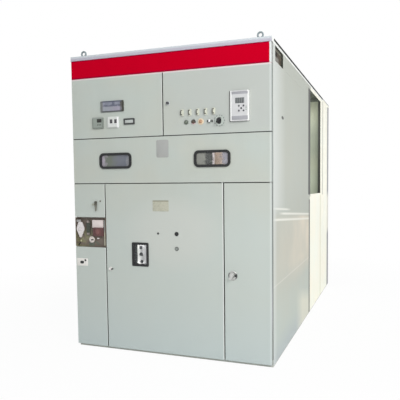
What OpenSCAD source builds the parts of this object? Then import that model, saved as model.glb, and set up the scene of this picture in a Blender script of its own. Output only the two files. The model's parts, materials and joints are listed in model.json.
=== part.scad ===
/* [Cabinet] */
// Width over the side walls
cabinet_w = 1840; // [1760:10:2000]
// Depth from the door faces to the rear covers
cabinet_d = 3300; // [3200:10:3600]
// Height of the roof above the floor
cabinet_h = 2600; // [2560:10:2800]
// Depth of the front bay, door faces to partition
front_bay_d = 1710; // [1640:10:1760]
// Depth of the main bus bay behind the partition
bus_bay_d = 980; // [940:10:1100]
// Thickness of the folded sheet
sheet_t = 3; // [2:0.5:4]
// Gap between neighbouring wall sheets
wall_gap = 5; // [3:0.5:8]
// Height of the wall sheets' lower edge
wall_lift = 12; // [6:1:30]
// Joint between the plates round a wall opening
plate_joint = 0.5; // [0.3:0.1:1]

/* [Frame] */
// Height of the base angle
base_h = 60; // [50:1:80]
// Width of the base angle's flange
base_flange = 60; // [54:1:80]
// Thickness of the base angle
base_t = 6; // [4:0.5:10]
// Radius of the foundation bolt holes
anchor_r = 9; // [6:0.5:12]
// Distance of the foundation holes from the outer faces
anchor_in = 35; // [24:1:40]
// Leg of the corner posts
post_w = 60; // [50:1:70]
// Thickness of the corner posts
post_t = 4; // [3:0.5:8]
// Face width of the mullions and transoms
tube_w = 50; // [40:1:60]
// Depth of the mullions and transoms
tube_d = 40; // [30:1:60]
// Wall of the mullions and transoms
tube_t = 3; // [2:0.5:5]

/* [Front] */
// Distance from the door faces back to the frame
frame_setback = 34; // [32:0.5:40]
// Depth of the hinged door pans
door_t = 25; // [22:0.5:26]
// Distance of the front pans from the side planes
edge_inset = 6; // [3:0.5:12]
// Gap between doors side by side
seam = 10; // [9:0.5:14]
// Gap between the rows of panels
line_gap = 8; // [8:0.5:12]
// Gap under the red header
header_gap = 4; // [2:0.5:8]
// Height of the doors' lower edge
door_lift = 28; // [24:1:40]
// Height of the roof's folded edge
roof_h = 38; // [30:1:50]
// Height of the header row
header_h = 162; // [150:1:180]
// Height of the instrument row
instrument_h = 524; // [480:1:560]
// Height of the window row
window_row_h = 394; // [360:1:420]
// Width of the left column, to its seam
left_column_w = 319; // [300:1:350]
// Width of the right column, to its seam
right_column_w = 398; // [370:1:430]
// Width of the meter door, to its seam
meter_door_w = 897; // [860:1:930]

/* [Hinges] */
// Distance of the hinge line from the door's edge
pivot_in = 10; // [9:0.5:12]
// Distance of the hinge line behind the door face
pivot_back = 10; // [9:0.5:12]
// Radius of the hinge pins
pin_r = 5; // [4:0.25:6]
// Radial clearance round the hinge pins
pin_clear = 0.3; // [0.2:0.05:0.5]
// Length of a hinge pin inside the door
pin_l = 18; // [12:1:24]
// Radius of the bushing welded into the door's corner
bushing_r = 8.5; // [8:0.25:9]
// Height of the bushing
bushing_l = 24; // [20:1:30]
// Thickness of the hinge brackets
bracket_t = 3; // [2:0.5:4]
// Radius of the hinge brackets' round end
bracket_r = 9; // [8:0.25:9.5]
// Height of the stiffening angles inside the doors
rib_w = 40; // [30:1:60]
// Distance of the stiffening angles' back behind the door faces
rib_d = 20; // [14:0.5:21]
// Distance of the lower angle above the door's lower edge
rib_low = 370; // [250:10:450]
// Distance of the upper angle below the door's upper edge
rib_high = 290; // [200:10:330]

/* [Roof] */
// Length of the rear roof
rear_roof_d = 610; // [500:10:800]
// Distance of the lifting eyes from the side planes
eye_in = 105; // [80:1:160]
// Distance of the lifting eyes from the roof's ends
eye_back = 48; // [40:1:90]
// Radius of the lifting eye's collar
eye_collar_r = 24; // [20:1:30]
// Height of the lifting eye's collar
eye_collar_h = 9; // [6:0.5:14]
// Mean radius of the lifting ring
eye_ring_r = 21; // [19:0.5:26]
// Radius of the lifting ring's bar
eye_bar_r = 7.5; // [6:0.5:9]
// Radius of the land inside the lifting ring
eye_bore_r = 15; // [14:0.5:16]

/* [Side openings] */
// Distance of the control bus opening from the door faces
control_y = 100; // [98:1:140]
// Width of the control bus opening
control_w = 285; // [200:1:320]
// Height of the control bus opening
control_h = 120; // [90:1:130]
// Distance of the control bus opening below the roof's edge
control_drop = 5; // [4:1:20]
// Distance of the main bus opening behind the partition
bus_open_in = 22; // [16:1:60]
// Width of the main bus opening
bus_open_w = 780; // [600:10:840]
// Height of the main bus opening
bus_open_h = 1170; // [900:10:1300]
// Distance of the main bus opening below the roof's edge
bus_open_drop = 37; // [20:1:120]

/* [Control bus] */
// Number of control bus rods
rod_n = 6; // [3:1:8]
// Spacing of the control bus rods
rod_pitch = 32; // [24:1:36]
// Radius of a control bus rod
rod_r = 4; // [3:0.25:6]
// Height of the rods above the tray
rod_lift = 30; // [20:1:40]
// Distance of the rod ends from the side walls
rod_end_in = 60; // [40:5:120]
// Height of the tray's folded lips
tray_lip = 18; // [10:1:26]
// Distance of the tray's edges inside the opening
tray_clear = 1; // [0.5:0.5:5]
// Distance of the rod supports from the cabinet's centre
comb_x = 560; // [300:10:700]
// Thickness of the rod supports
comb_t = 12; // [8:1:20]

/* [Windows] */
// Width of an observation window over its rubber
window_w = 316; // [280:1:340]
// Height of an observation window over its rubber
window_h = 136; // [120:1:160]
// Distance of the insulating barriers from the cabinet's centre
barrier_x = 300; // [240:5:360]
// Distance of the insulating barriers behind the door faces
barrier_y = 300; // [200:10:500]
// Length of the insulating barriers
barrier_l = 1000; // [600:10:1200]
// Height of the insulating barriers
barrier_h = 420; // [300:10:700]
// Thickness of the insulating barriers
barrier_t = 6; // [4:0.5:10]
// Visible width of the window rubber
window_rim = 20; // [16:1:26]
// Corner radius of the window rubber
window_r = 40; // [24:1:48]
// Distance of the left window's middle from the left edge
window_left_x = 433; // [380:1:480]
// Distance of the right window's middle from the left edge
window_right_x = 1334; // [1260:1:1400]
// Distance of the windows' middle above the row's lower line
window_z = 196; // [180:1:214]
// How far the rubber stands out of the panel
window_proud = 10; // [6:0.5:14]
// How far the rubber reaches behind the panel sheet
window_back = 9; // [6:0.5:12]
// Thickness of the window glass
glass_t = 5; // [3:0.5:6]
// Depth that the glass reaches into the rubber
glass_grip = 6; // [4:0.5:8]
// Clearance round the glass
glass_clear = 0.3; // [0.2:0.05:0.6]

/* [Door window] */
// Width of the door window over its frame
port_w = 160; // [130:1:180]
// Height of the door window over its frame
port_h = 206; // [170:1:230]
// Visible width of the door window's frame
port_rim = 20; // [12:1:24]
// Corner radius of the door window's frame
port_r = 9; // [6:0.5:14]
// Distance of the door window's middle from the door's left edge
port_x = 337; // [300:1:360]
// Distance of the door window's middle below the door's upper edge
port_z = 608; // [570:1:650]
// Depth that the door window's frame reaches over its cut-out
port_lap = 7.5; // [5:0.5:9]
// Corner radius of the door window's cut-out
port_cut_r = 5; // [3:0.5:8]
// Depth that the pane reaches into the frame
port_grip = 3.75; // [3:0.25:5]
// How far the frame stands out of the door
port_proud = 6; // [4:0.5:10]
// How far the frame reaches behind the door face
port_back = 22; // [16:0.5:24]
// Distance of the pane behind the door face
port_pane_y = 14; // [8:0.5:16]
// Thickness of the pane
port_pane_t = 3; // [2:0.5:5]

/* [Breaker] */
// Width of the breaker's mechanism housing
breaker_w = 600; // [520:10:660]
// Depth of the mechanism housing
breaker_d = 350; // [300:10:500]
// Height of the mechanism housing
breaker_h = 570; // [500:10:640]
// Wall of the mechanism housing
breaker_t = 3; // [2:0.5:5]
// Leg of the angle feet under the housing
foot_w = 50; // [40:1:60]
// Thickness of the angle feet
foot_t = 5; // [4:0.5:8]
// Distance of the housing's face behind the door faces
breaker_y = 70; // [40:0.5:80]
// Distance of the housing's right face from the door window's middle
breaker_right = 420; // [380:5:460]
// Distance of the housing's lower face below the door window's middle
breaker_drop = 310; // [280:5:340]
// Thickness of the indicator panel
indicator_t = 6; // [4:0.5:8]
// Width of the indicator panel
indicator_w = 134; // [120:1:180]
// Height of the indicator panel
indicator_h = 190; // [170:1:220]

/* [Left column] */
// Distance of the mechanism niche's upper edge below the doors' upper edge
niche_z = 298; // [260:1:360]
// Height of the mechanism niche
niche_h = 260; // [240:1:300]
// Width of the egg-shaped handle plate
oval_w = 78; // [70:1:100]
// Height of the handle plate from its round top to its tip
oval_h = 142; // [130:1:180]
// Height of the handle plate's top above its widest place
oval_up = 64; // [56:1:72]
// Radius of the handle plate's top
oval_top_r = 24; // [18:0.5:30]
// Radius of the handle plate's tip
oval_tip_r = 11; // [6:0.5:14]
// Thickness of the handle plate
oval_t = 7; // [5:0.5:12]
// Distance of the handle plate's spindle from the niche's left edge
oval_x = 57; // [52:1:70]
// Distance of the handle plate's spindle below the niche's upper edge
oval_z = 101; // [90:1:115]
// Radius of the handle plate's spindle
spindle_r = 15; // [10:1:20]
// How far the spindle's nut stands out of the handle plate
spindle_nut = 8; // [5:0.5:12]
// Width of the mechanism's casting
casting_w = 108; // [90:1:120]
// Height of the mechanism's casting
casting_h = 76; // [60:1:80]
// How far the casting stands out of the niche's back
casting_d = 30; // [20:1:34]
// Distance of the casting's right side from the niche's right edge
casting_in = 22; // [10:1:30]
// Distance of the casting's lower side above the niche's lower edge
casting_z = 95; // [90:1:110]
// Number of ribs on the casting
casting_ribs = 3; // [2:1:4]
// Width of a casting rib
casting_rib_w = 8; // [6:0.5:12]
// How far the ribs stand out of the casting
casting_rib_d = 7; // [4:0.5:10]
// Radius of the casting's shaft boss
casting_boss_r = 20; // [14:1:24]
// Radius of the hub's washer
hub_r = 28; // [22:1:32]
// Thickness of the hub's washer
hub_washer_t = 6; // [4:0.5:10]
// Radius of the hub's shaft
hub_shaft_r = 11; // [8:0.5:14]
// Width of the hub's nut over its corners
hub_nut_w = 36; // [28:1:40]
// Height of the hub's nut
hub_nut_t = 13; // [8:0.5:18]
// Length of the shaft's end outside the nut
hub_thread = 6; // [3:0.5:10]
// Distance of the hub's middle from the niche's left edge
hub_x = 162; // [150:1:180]
// Distance of the hub's middle above the niche's lower edge
hub_z = 62; // [50:1:66]
// How far the hub stands out of the niche's back
hub_d = 38; // [28:1:44]
// Width of the flat link between the plate and the casting
link_w = 34; // [24:1:40]
// Thickness of the flat link
link_t = 8; // [5:0.5:12]
// Distance of the link's middle from the niche's left edge
link_x = 127; // [118:1:150]
// Radius of the link's fixing studs
link_stud_r = 8; // [6:0.5:10]
// How far the link stands off the niche's back
link_off = 12; // [8:1:16]
// Distance of the upper link stud below the niche's upper edge
link_drop = 40; // [30:1:50]
// Gap between the link and the hub's washer
link_clear = 8; // [5:0.5:14]
// Radius of the nuts on the link's studs
link_nut_r = 11; // [9:0.5:14]
// Height of the nuts on the link's studs
link_nut_t = 6; // [4:0.5:10]

/* [Panel latch] */
// Width of the latch lever
latch_w = 20; // [14:1:26]
// Length of the latch lever
latch_h = 88; // [70:1:110]
// Thickness of the latch lever
latch_t = 9; // [6:0.5:14]
// Radius of the latch lever's lower tip
latch_tip_r = 5; // [3:0.5:8]
// Length of the latch's side arm
latch_arm = 34; // [24:1:44]
// Height of the latch's side arm
latch_arm_h = 16; // [12:0.5:20]
// Height of the latch boss
latch_boss = 7; // [4:0.5:10]
// Radius of the latch boss
latch_boss_r = 7; // [5:0.5:9]
// Distance of the latch from the left edge
latch_x = 228; // [200:1:260]
// Distance of the latch's middle above the panel's lower edge
latch_z = 100; // [70:1:130]

/* [Instruments] */
// Clearance of an instrument's body in its cut-out
cut_clear = 1; // [0.5:0.25:2]
// Overhang of an instrument's bezel round its body
bezel_lap = 8; // [5:0.5:12]
// Depth of the instrument bodies behind the panel face
body_d = 60; // [30:1:90]
// Width of the meter window
meter_w = 227; // [200:1:240]
// Height of the meter window
meter_h = 94; // [80:1:110]
// How far the meter window stands out
meter_proud = 9; // [6:0.5:14]
// Width of the meter window's frame
meter_rim = 9; // [7:0.5:12]
// Thickness of the meter glass
meter_glass_t = 4; // [3:0.5:5]
// Distance of the meter glass behind its frame
meter_glass_in = 1; // [0.5:0.25:2]
// Distance of the meter's middle from the left edge
meter_x = 412; // [390:1:440]
// Distance of the meter's middle above the row's lower line
meter_z = 270; // [250:1:290]
// Width of the voltage indicator
volt_w = 107; // [98:1:116]
// Height of the voltage indicator
volt_h = 98; // [88:1:108]
// How far the voltage indicator stands out
volt_proud = 14; // [10:0.5:20]
// Distance of the voltage indicator's middle from the left edge
volt_x = 268; // [250:1:276]
// Width of the climate controller
climate_w = 108; // [96:1:114]
// Height of the climate controller
climate_h = 94; // [84:1:104]
// How far the climate controller stands out
climate_proud = 12; // [8:0.5:18]
// Distance of the climate controller's middle from the left edge
climate_x = 419; // [410:1:430]
// Width of the counter
counter_w = 104; // [90:1:112]
// Height of the counter
counter_h = 52; // [46:1:60]
// How far the counter stands out
counter_proud = 8; // [5:0.5:14]
// Distance of the counter's middle from the left edge
counter_x = 577; // [566:1:590]
// Distance of this row's middle above the row's lower line
lower_row_z = 134; // [120:1:150]
// Corner radius of the instrument bezels
bezel_r = 6; // [3:0.5:10]
// Corner radius of the cut-outs in the instruments' faces
face_r = 3; // [1:0.5:5]
// Width of the climate controller's and counter's rim
face_rim = 12; // [9:0.5:15]
// Depth of the climate controller's and counter's face
face_sink = 3; // [2:0.5:5]

/* [Relay and switches] */
// Width of the protection relay
relay_w = 153; // [140:1:160]
// Height of the protection relay
relay_h = 237; // [220:1:250]
// How far the relay stands out
relay_proud = 20; // [14:0.5:28]
// Width of the relay's raised border
relay_rim = 9; // [6:0.5:12]
// Depth of the relay's face inside its border
relay_sink = 4; // [2:0.5:6]
// Width of the relay's display
relay_lcd_w = 76; // [66:1:96]
// Height of the relay's display
relay_lcd_h = 44; // [36:1:56]
// Distance of the display's middle above the relay's middle
relay_lcd_up = 41; // [34:1:50]
// Depth of the display in the relay's face
relay_lcd_d = 2; // [1:0.5:4]
// Side of a relay key
relay_key = 14; // [8:0.5:16]
// Spacing of the relay's keys
relay_key_pitch = 19; // [11:0.5:22]
// Distance of the keys' middle below the relay's middle
relay_key_down = 20; // [16:1:30]
// Distance of the keys' middle right of the relay's middle
relay_key_right = 14; // [0:1:20]
// How far a key stands out of the relay's face
relay_key_proud = 3; // [2:0.5:4]
// Distance of the relay's middle from the left edge
relay_x = 1576; // [1560:1:1600]
// Distance of the relay's middle above the row's lower line
relay_z = 208; // [190:1:230]
// Number of link straps
strap_n = 5; // [3:1:6]
// Spacing of the link straps
strap_pitch = 69.5; // [50:0.5:70]
// Distance of the first link strap from the left edge
strap_x = 1076; // [1050:1:1090]
// Distance of the link straps above the row's lower line
strap_z = 180; // [170:1:190]
// Width of a link strap's base
strap_w = 22; // [18:1:28]
// Height of a link strap's base
strap_h = 54; // [44:1:60]
// How far a link strap stands out
strap_proud = 14; // [10:0.5:20]
// Thickness of a link strap's base
strap_base_t = 7; // [5:0.5:10]
// Width of a link strap's bar
strap_bar_w = 12; // [8:0.5:14]
// Length of a link strap's bar
strap_bar_h = 44; // [36:1:48]
// Distance of the switch row above the row's lower line
switch_z = 102; // [90:1:108]
// Distance of the first lamp from the left edge
lamp_x = 1110; // [1090:1:1120]
// Spacing of the lamps
lamp_pitch = 64.5; // [56:0.5:66]
// Radius of a lamp's ring
lamp_r = 15; // [12:0.5:18]
// How far a lamp stands out
lamp_proud = 15; // [10:0.5:20]
// Height of a lamp's ring
lamp_ring_t = 6; // [4:0.5:8]
// Radius of a lamp's lens
lamp_lens_r = 12; // [9:0.5:13]
// Radius of the flat on a lamp's lens
lamp_flat_r = 8; // [5:0.5:9]
// Height of a lamp's straight lens side
lamp_side = 12; // [10:0.5:13]
// Radius of a lamp's body behind the panel
lamp_body_r = 11; // [8:0.5:11.5]
// Number of lamps and buttons
lamp_n = 3; // [2:1:3]
// Side of the selector switch
selector_w = 34; // [28:1:38]
// Distance of the selector switch from the left edge
selector_x = 1316; // [1306:1:1322]
// How far the selector's knob stands out
selector_proud = 22; // [16:0.5:30]
// Radius of the selector's knob
selector_knob_r = 12; // [9:0.5:14]
// Width of the selector's grip
selector_grip_w = 7; // [5:0.5:9]
// Side of the control switch's plate
control_plate = 80; // [70:1:84]
// Thickness of the control switch's plate
control_plate_t = 6; // [4:0.5:10]
// Distance of the control switch from the left edge
control_x = 1401; // [1390:1:1408]
// How far the control switch's grip stands out
control_proud = 36; // [28:0.5:38]
// Radius of the control switch's boss
control_boss_r = 27; // [22:1:30]
// Radius of the control switch's boss at its face
control_face_r = 23; // [18:1:25]
// Height of the control switch's boss
control_boss_h = 18; // [12:1:24]
// Width of the control switch's grip
control_grip_w = 14; // [10:1:18]
// Turn of the control switch's grip from upright
control_turn = 45; // [0:15:90]

/* [Locks] */
// Thickness of a door lock's plate
lock_plate_t = 4; // [3:0.5:6]
// Chamfer of a door lock's edges
lock_chamfer = 2; // [1:0.25:3]
// Radius of a door lock's plate
lock_r = 17; // [14:0.5:20]
// Radius of a door lock's knob
lock_knob_r = 11; // [8:0.5:13]
// How far a door lock stands out
lock_proud = 20; // [12:0.5:26]
// Distance of a door lock from the door's free edge
lock_in = 36; // [30:1:50]
// Height of the lower locks above the floor
lock_z = 731; // [700:1:780]
// Distance of the upper lock from the relay door's edge
upper_lock_in = 44; // [30:1:60]
// Distance of the upper door's lock above the row's lower line
upper_lock_z = 266; // [230:1:300]
// Radius of the round handle's plate
handle_r = 38; // [32:0.5:44]
// Thickness of the round handle's plate
handle_plate_t = 8; // [5:0.5:12]
// How far the round handle stands out
handle_proud = 40; // [39:0.5:55]
// Width of the handle's grip
handle_grip_w = 20; // [19:0.5:24]
// Half width of the flat at the ends of the grips and levers
grip_flat = 1; // [0.5:0.25:2]
// Width of the raised rim round the handle's dish
handle_rim = 7; // [5:0.5:10]
// Radius of the handle's neck
handle_neck_r = 9; // [7:0.5:12]
// Thickness of the handle's grip
handle_grip_t = 14; // [10:0.5:18]
// Turn of the handle's grip from upright
handle_turn = 35; // [0:5:90]
// Distance of the handle from the door's free edge
handle_in = 70; // [60:1:90]
// Radius of the small door plug
plug_small_r = 9; // [6:0.5:12]
// Radius of the large door plugs
plug_large_r = 18; // [14:0.5:22]
// How far the plugs stand out
plug_proud = 6; // [4:0.5:10]
// Distance of the small plug from the door's left edge
plug_small_x = 511; // [480:1:540]
// Distance of the large plugs from the door's left edge
plug_large_x = 684; // [650:1:710]
// Distance of the upper plugs below the door's upper edge
plug_upper_z = 422; // [390:1:450]
// Distance of the lower plug below the door's upper edge
plug_lower_z = 547; // [520:1:580]
// Chamfer of the plugs
plug_chamfer = 3; // [1:0.25:4]

/* [Rear] */
// Distance of the rear frame inside the roof's rear edge
cover_d = 25; // [18:0.5:35]
// How far the roof reaches out over the rear covers
cover_inset = 8; // [4:0.5:12]
// Height of the joint between the rear covers
cover_split = 1300; // [1000:10:1600]

/* [Hidden] */
$fn = 48;
arc_n = 20;
half_w = cabinet_w / 2;
wall_x = half_w - sheet_t;
post_x = wall_x - post_t;
front_l = -half_w + edge_inset;
front_r = half_w - edge_inset;
z_roof = cabinet_h - roof_h;
z_header = z_roof - header_h;
z_instrument = z_header - instrument_h;
z_window = z_instrument - window_row_h;
floor_top = base_h + sheet_t;
seam_left = front_l + left_column_w;
seam_right = front_r - right_column_w;
seam_upper = front_l + meter_door_w;
bulkhead_y = front_bay_d + bus_bay_d;
roof_joint = cabinet_d - rear_roof_d;
frame_back = cabinet_d - cover_d;
door_top = z_window - line_gap / 2;
column_r = seam_left - seam / 2;
niche_top = door_top - niche_z;
niche_low = niche_top - niche_h;
niche_back = frame_setback - sheet_t;
cut_over = 1;
front_reach = max(handle_proud, control_proud, lock_proud, relay_proud);
front_y = -(cabinet_d - front_reach) / 2;

// Outlines on the front as left, right, lower and upper edge
header_box = [front_l, front_r, z_header + header_gap / 2, z_roof - header_gap / 2];
meter_door_box = [front_l, seam_upper - seam / 2, z_instrument + line_gap / 2, z_header - header_gap / 2];
relay_door_box = [seam_upper + seam / 2, front_r, z_instrument + line_gap / 2, z_header - header_gap / 2];
window_box = [front_l, front_r, z_window + line_gap / 2, z_instrument - line_gap / 2];
left_top_box = [front_l, column_r, niche_top + line_gap / 2, door_top];
left_low_box = [front_l, column_r, door_lift, niche_low - line_gap / 2];
niche_box = [front_l, column_r, niche_low, niche_top];
centre_box = [seam_left + seam / 2, seam_right - seam / 2, door_lift, door_top];
right_box = [seam_right + seam / 2, front_r, door_lift, door_top];

// Windows and instruments as middle on the front
window_mids = [for (x = [window_left_x, window_right_x]) [front_l + x, z_window + window_z]];
port_mid = [centre_box[0] + port_x, door_top - port_z];
meter_mid = [front_l + meter_x, z_instrument + meter_z];
volt_mid = [front_l + volt_x, z_instrument + lower_row_z];
climate_mid = [front_l + climate_x, z_instrument + lower_row_z];
counter_mid = [front_l + counter_x, z_instrument + lower_row_z];
relay_mid = [front_l + relay_x, z_instrument + relay_z];
selector_mid = [front_l + selector_x, z_instrument + switch_z];
control_mid = [front_l + control_x, z_instrument + switch_z];
strap_mids = [for (i = [0:strap_n - 1]) [front_l + strap_x + i * strap_pitch, z_instrument + strap_z]];
lamp_mids = [for (i = [0:lamp_n - 1]) [front_l + lamp_x + i * lamp_pitch, z_instrument + switch_z]];
hinge_lines = [centre_box[1] - pivot_in, right_box[1] - pivot_in];

// Control bus tray, its rods and the breaker behind the door window
tray_top = z_roof - control_drop - control_h - sheet_t;
tray_y = [control_y + tray_clear, control_y + control_w - tray_clear];
rod_z = tray_top + rod_lift;
rod_ys = [for (i = [0:rod_n - 1]) control_y + control_w / 2 + (i - (rod_n - 1) / 2) * rod_pitch];
breaker_x = [port_mid[0] + breaker_right - breaker_w, port_mid[0] + breaker_right];
breaker_z = port_mid[1] - breaker_drop;

paint = "#c3c8bd";
frame_paint = "#a9ada5";
header_red = "#c8202b";
rubber = "#17181a";
glass_tint = "#8fa3b1";
bronze = "#4a3a2c";

// Shifts depths measured from the door faces into the part's frame
module placed() {
    translate([0, front_y, 0]) children();
}

module box(lo, hi) {
    translate(lo) cube(hi - lo);
}

module both_sides() {
    for (s = [0, 1]) mirror([s, 0, 0]) children();
}

module rounded(w, h, r) {
    square([w - 2 * r, h], center = true);
    square([w, h - 2 * r], center = true);
    for (x = [-1, 1], z = [-1, 1])
        translate([x * (w / 2 - r), z * (h / 2 - r)]) circle(r);
}

// Flat shape on the front from depth y0 to depth y1
module slab(mid, y0, y1) {
    translate([mid[0], y1, mid[1]]) rotate([90, 0, 0]) linear_extrude(y1 - y0) children();
}

// Egg-shaped outline about its widest place, round a top, a middle and a tip circle
module egg(r_top, up, r_mid, r_tip, down) {
    rise = up - r_top;
    drop = down - r_tip;
    lean_up = asin((r_mid - r_top) / rise);
    lean_down = asin((r_mid - r_tip) / drop);
    right = [for (i = [0:arc_n]) let (a = -lean_down + (lean_down + lean_up) * i / arc_n)
        r_mid * [cos(a), sin(a)]];
    top = [for (i = [0:arc_n]) let (a = lean_up + (180 - 2 * lean_up) * i / arc_n)
        [0, rise] + r_top * [cos(a), sin(a)]];
    left = [for (i = [0:arc_n]) [-right[arc_n - i][0], right[arc_n - i][1]]];
    tip = [for (i = [0:arc_n]) let (a = 180 + lean_down + (180 - 2 * lean_down) * i / arc_n)
        [0, -drop] + r_tip * [cos(a), sin(a)]];
    polygon(concat(right, top, left, tip));
}

// Outline round two circles, one straight above the other
module tapered(r_top, r_low, l) {
    lean = asin((r_top - r_low) / l);
    top_arc = [for (i = [0:arc_n]) let (a = -lean + (180 + 2 * lean) * i / arc_n) r_top * [cos(a), sin(a)]];
    low_arc = [for (i = [0:arc_n]) let (a = 180 + lean + (180 - 2 * lean) * i / arc_n)
        [0, -l] + r_low * [cos(a), sin(a)]];
    polygon(concat(top_arc, low_arc));
}

// Turned shape standing out of the front, radius and reach as the outline
module turned(mid, outline) {
    translate([mid[0], 0, mid[1]]) rotate([90, 0, 0]) rotate_extrude() polygon(outline);
}

// Sheet pan folded back round its four edges
module pan(edges, d) {
    difference() {
        box([edges[0], 0, edges[2]], [edges[1], d, edges[3]]);
        box([edges[0] + sheet_t, sheet_t, edges[2] + sheet_t],
            [edges[1] - sheet_t, d + cut_over, edges[3] - sheet_t]);
    }
}

module angle_outline(a, b, t) {
    polygon([[0, 0], [a, 0], [a, t], [t, t], [t, b], [0, b]]);
}

// Upright angle with its heel at the origin, legs along +X and +Y
module angle_post(w, t, z0, z1) {
    translate([0, 0, z0]) linear_extrude(z1 - z0) angle_outline(w, w, t);
}

module tube_outline() {
    difference() {
        square([tube_w, tube_d]);
        translate([tube_t, tube_t]) square([tube_w - 2 * tube_t, tube_d - 2 * tube_t]);
    }
}

module body_hole(mid, w, h) {
    slab(mid, -cut_over, sheet_t + cut_over)
        square([w - 2 * bezel_lap + 2 * cut_clear, h - 2 * bezel_lap + 2 * cut_clear], center = true);
}

// Bezel on the panel face with a body through the cut-out
module flush_device(mid, w, h, proud) {
    slab(mid, -proud, 0) rounded(w, h, bezel_r);
    slab(mid, 0, body_d) square([w - 2 * bezel_lap, h - 2 * bezel_lap], center = true);
}

module base_frame() color(frame_paint) placed() difference() {
    union() {
        both_sides() translate([-wall_x, frame_back, 0]) rotate([90, 0, 0])
            linear_extrude(frame_back - frame_setback) angle_outline(base_flange, base_h, base_t);
        for (y = [frame_setback, front_bay_d, bulkhead_y])
            translate([-wall_x, y, 0]) rotate([90, 0, 90])
                linear_extrude(2 * wall_x) angle_outline(base_flange, base_h, base_t);
        translate([wall_x, frame_back, 0]) rotate([90, 0, -90])
            linear_extrude(2 * wall_x) angle_outline(base_flange, base_h, base_t);
    }
    both_sides() for (y = [frame_setback + anchor_in, frame_back - anchor_in])
        translate([wall_x - anchor_in, y, -cut_over]) cylinder(r = anchor_r, h = base_t + 2 * cut_over);
}

module floor_plate() color(frame_paint) placed()
    box([-wall_x, frame_setback, base_h], [wall_x, frame_back, floor_top]);

module corner_posts() color(frame_paint) placed() both_sides() {
    translate([-wall_x, frame_setback, 0]) angle_post(post_w, post_t, floor_top, z_roof);
    for (y = [front_bay_d, bulkhead_y, frame_back])
        translate([-wall_x, y, 0]) rotate([0, 0, -90]) angle_post(post_w, post_t, floor_top, z_roof);
}

module mullion(x, z0, z1) {
    translate([x - tube_w / 2, frame_setback, z0]) linear_extrude(z1 - z0) tube_outline();
}

module front_mullions() color(frame_paint) placed() {
    for (x = [seam_left, seam_right]) mullion(x, floor_top, z_window - tube_w / 2);
    mullion(seam_upper, z_instrument + tube_w / 2, z_header - tube_w / 2);
}

module front_transoms() color(frame_paint) placed()
    for (z = [z_window, z_instrument, z_header])
        translate([-wall_x + post_w, frame_setback, z + tube_w / 2]) rotate([0, 90, 0])
            linear_extrude(2 * (wall_x - post_w)) tube_outline();

module roof_pan(y0, y1) difference() {
    box([-half_w, y0, z_roof], [half_w, y1, cabinet_h]);
    box([-wall_x, y0 + sheet_t, z_roof - cut_over], [wall_x, y1 - sheet_t, cabinet_h - sheet_t]);
}

module roof_cover() color(paint) placed() roof_pan(0, roof_joint);

module rear_roof() color(paint) placed() roof_pan(roof_joint, cabinet_d);

module lifting_eye() {
    ring_z = eye_collar_h + eye_ring_r;
    cylinder(r = eye_collar_r, h = eye_collar_h);
    translate([0, 0, ring_z]) rotate([90, 0, 0]) rotate_extrude() difference() {
        translate([eye_ring_r, 0]) circle(eye_bar_r);
        translate([0, -eye_bar_r]) square([eye_bore_r, 2 * eye_bar_r]);
    }
}

module lifting_eyes() color("#8d9096") placed()
    both_sides() for (y = [eye_back, roof_joint - eye_back])
        translate([half_w - eye_in, y, cabinet_h]) lifting_eye();

module wall_plate(y0, y1, z0, z1) box([wall_x, y0, z0], [half_w, y1, z1]);

// Wall of plates round an opening, given as its front, rear, lower and upper edge
module open_wall(y0, y1, hole) {
    wall_plate(y0, y1, wall_lift, hole[2]);
    for (ends = [[y0, hole[0]], [hole[1], y1]])
        wall_plate(ends[0], ends[1], hole[2] + plate_joint, z_roof);
    wall_plate(hole[0] + plate_joint, hole[1] - plate_joint, hole[3], z_roof);
}

module front_wall() open_wall(frame_setback, front_bay_d - wall_gap / 2,
    [control_y, control_y + control_w, z_roof - control_drop - control_h, z_roof - control_drop]);

module bus_wall() {
    bus_y = front_bay_d + bus_open_in;
    open_wall(front_bay_d + wall_gap / 2, bulkhead_y - wall_gap / 2,
        [bus_y, bus_y + bus_open_w, z_roof - bus_open_drop - bus_open_h, z_roof - bus_open_drop]);
}

module left_front_wall() color(paint) placed() mirror([1, 0, 0]) front_wall();

module right_front_wall() color(paint) placed() front_wall();

module left_bus_wall() color(paint) placed() mirror([1, 0, 0]) bus_wall();

module right_bus_wall() color(paint) placed() bus_wall();

module rear_side_walls() color(paint) placed() both_sides()
    wall_plate(bulkhead_y + wall_gap / 2, frame_back, wall_lift, z_roof);

module rear_covers() color(paint) placed() translate([0, cabinet_d - cover_inset, 0]) rotate([0, 0, 180]) {
    pan([front_l, front_r, wall_lift, cover_split - wall_gap / 2], cover_d - cover_inset);
    pan([front_l, front_r, cover_split + wall_gap / 2, z_roof - header_gap / 2], cover_d - cover_inset);
}

module partition(y) box([-wall_x, y, floor_top], [wall_x, y + sheet_t, z_roof]);

module mid_partition() color(paint) placed() partition(front_bay_d);

module rear_bulkhead() color(paint) placed() partition(bulkhead_y);

module chamber_floor() color(paint) placed()
    box([-post_x, frame_setback + tube_d, z_window], [post_x, front_bay_d - post_t, z_window + sheet_t]);

module header_panel() color(header_red) placed() pan(header_box, frame_setback);

module meter_door() color(paint) placed() difference() {
    pan(meter_door_box, frame_setback);
    body_hole(meter_mid, meter_w, meter_h);
    body_hole(volt_mid, volt_w, volt_h);
    body_hole(climate_mid, climate_w, climate_h);
    body_hole(counter_mid, counter_w, counter_h);
}

module relay_door() color(paint) placed() difference() {
    pan(relay_door_box, frame_setback);
    body_hole(relay_mid, relay_w, relay_h);
    for (mid = lamp_mids) slab(mid, -cut_over, sheet_t + cut_over) circle(lamp_body_r + cut_clear);
}

// Window cut half way under the rubber's rim
module window_cut() {
    rounded(window_w - window_rim, window_h - window_rim, window_r - window_rim / 2);
}

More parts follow.
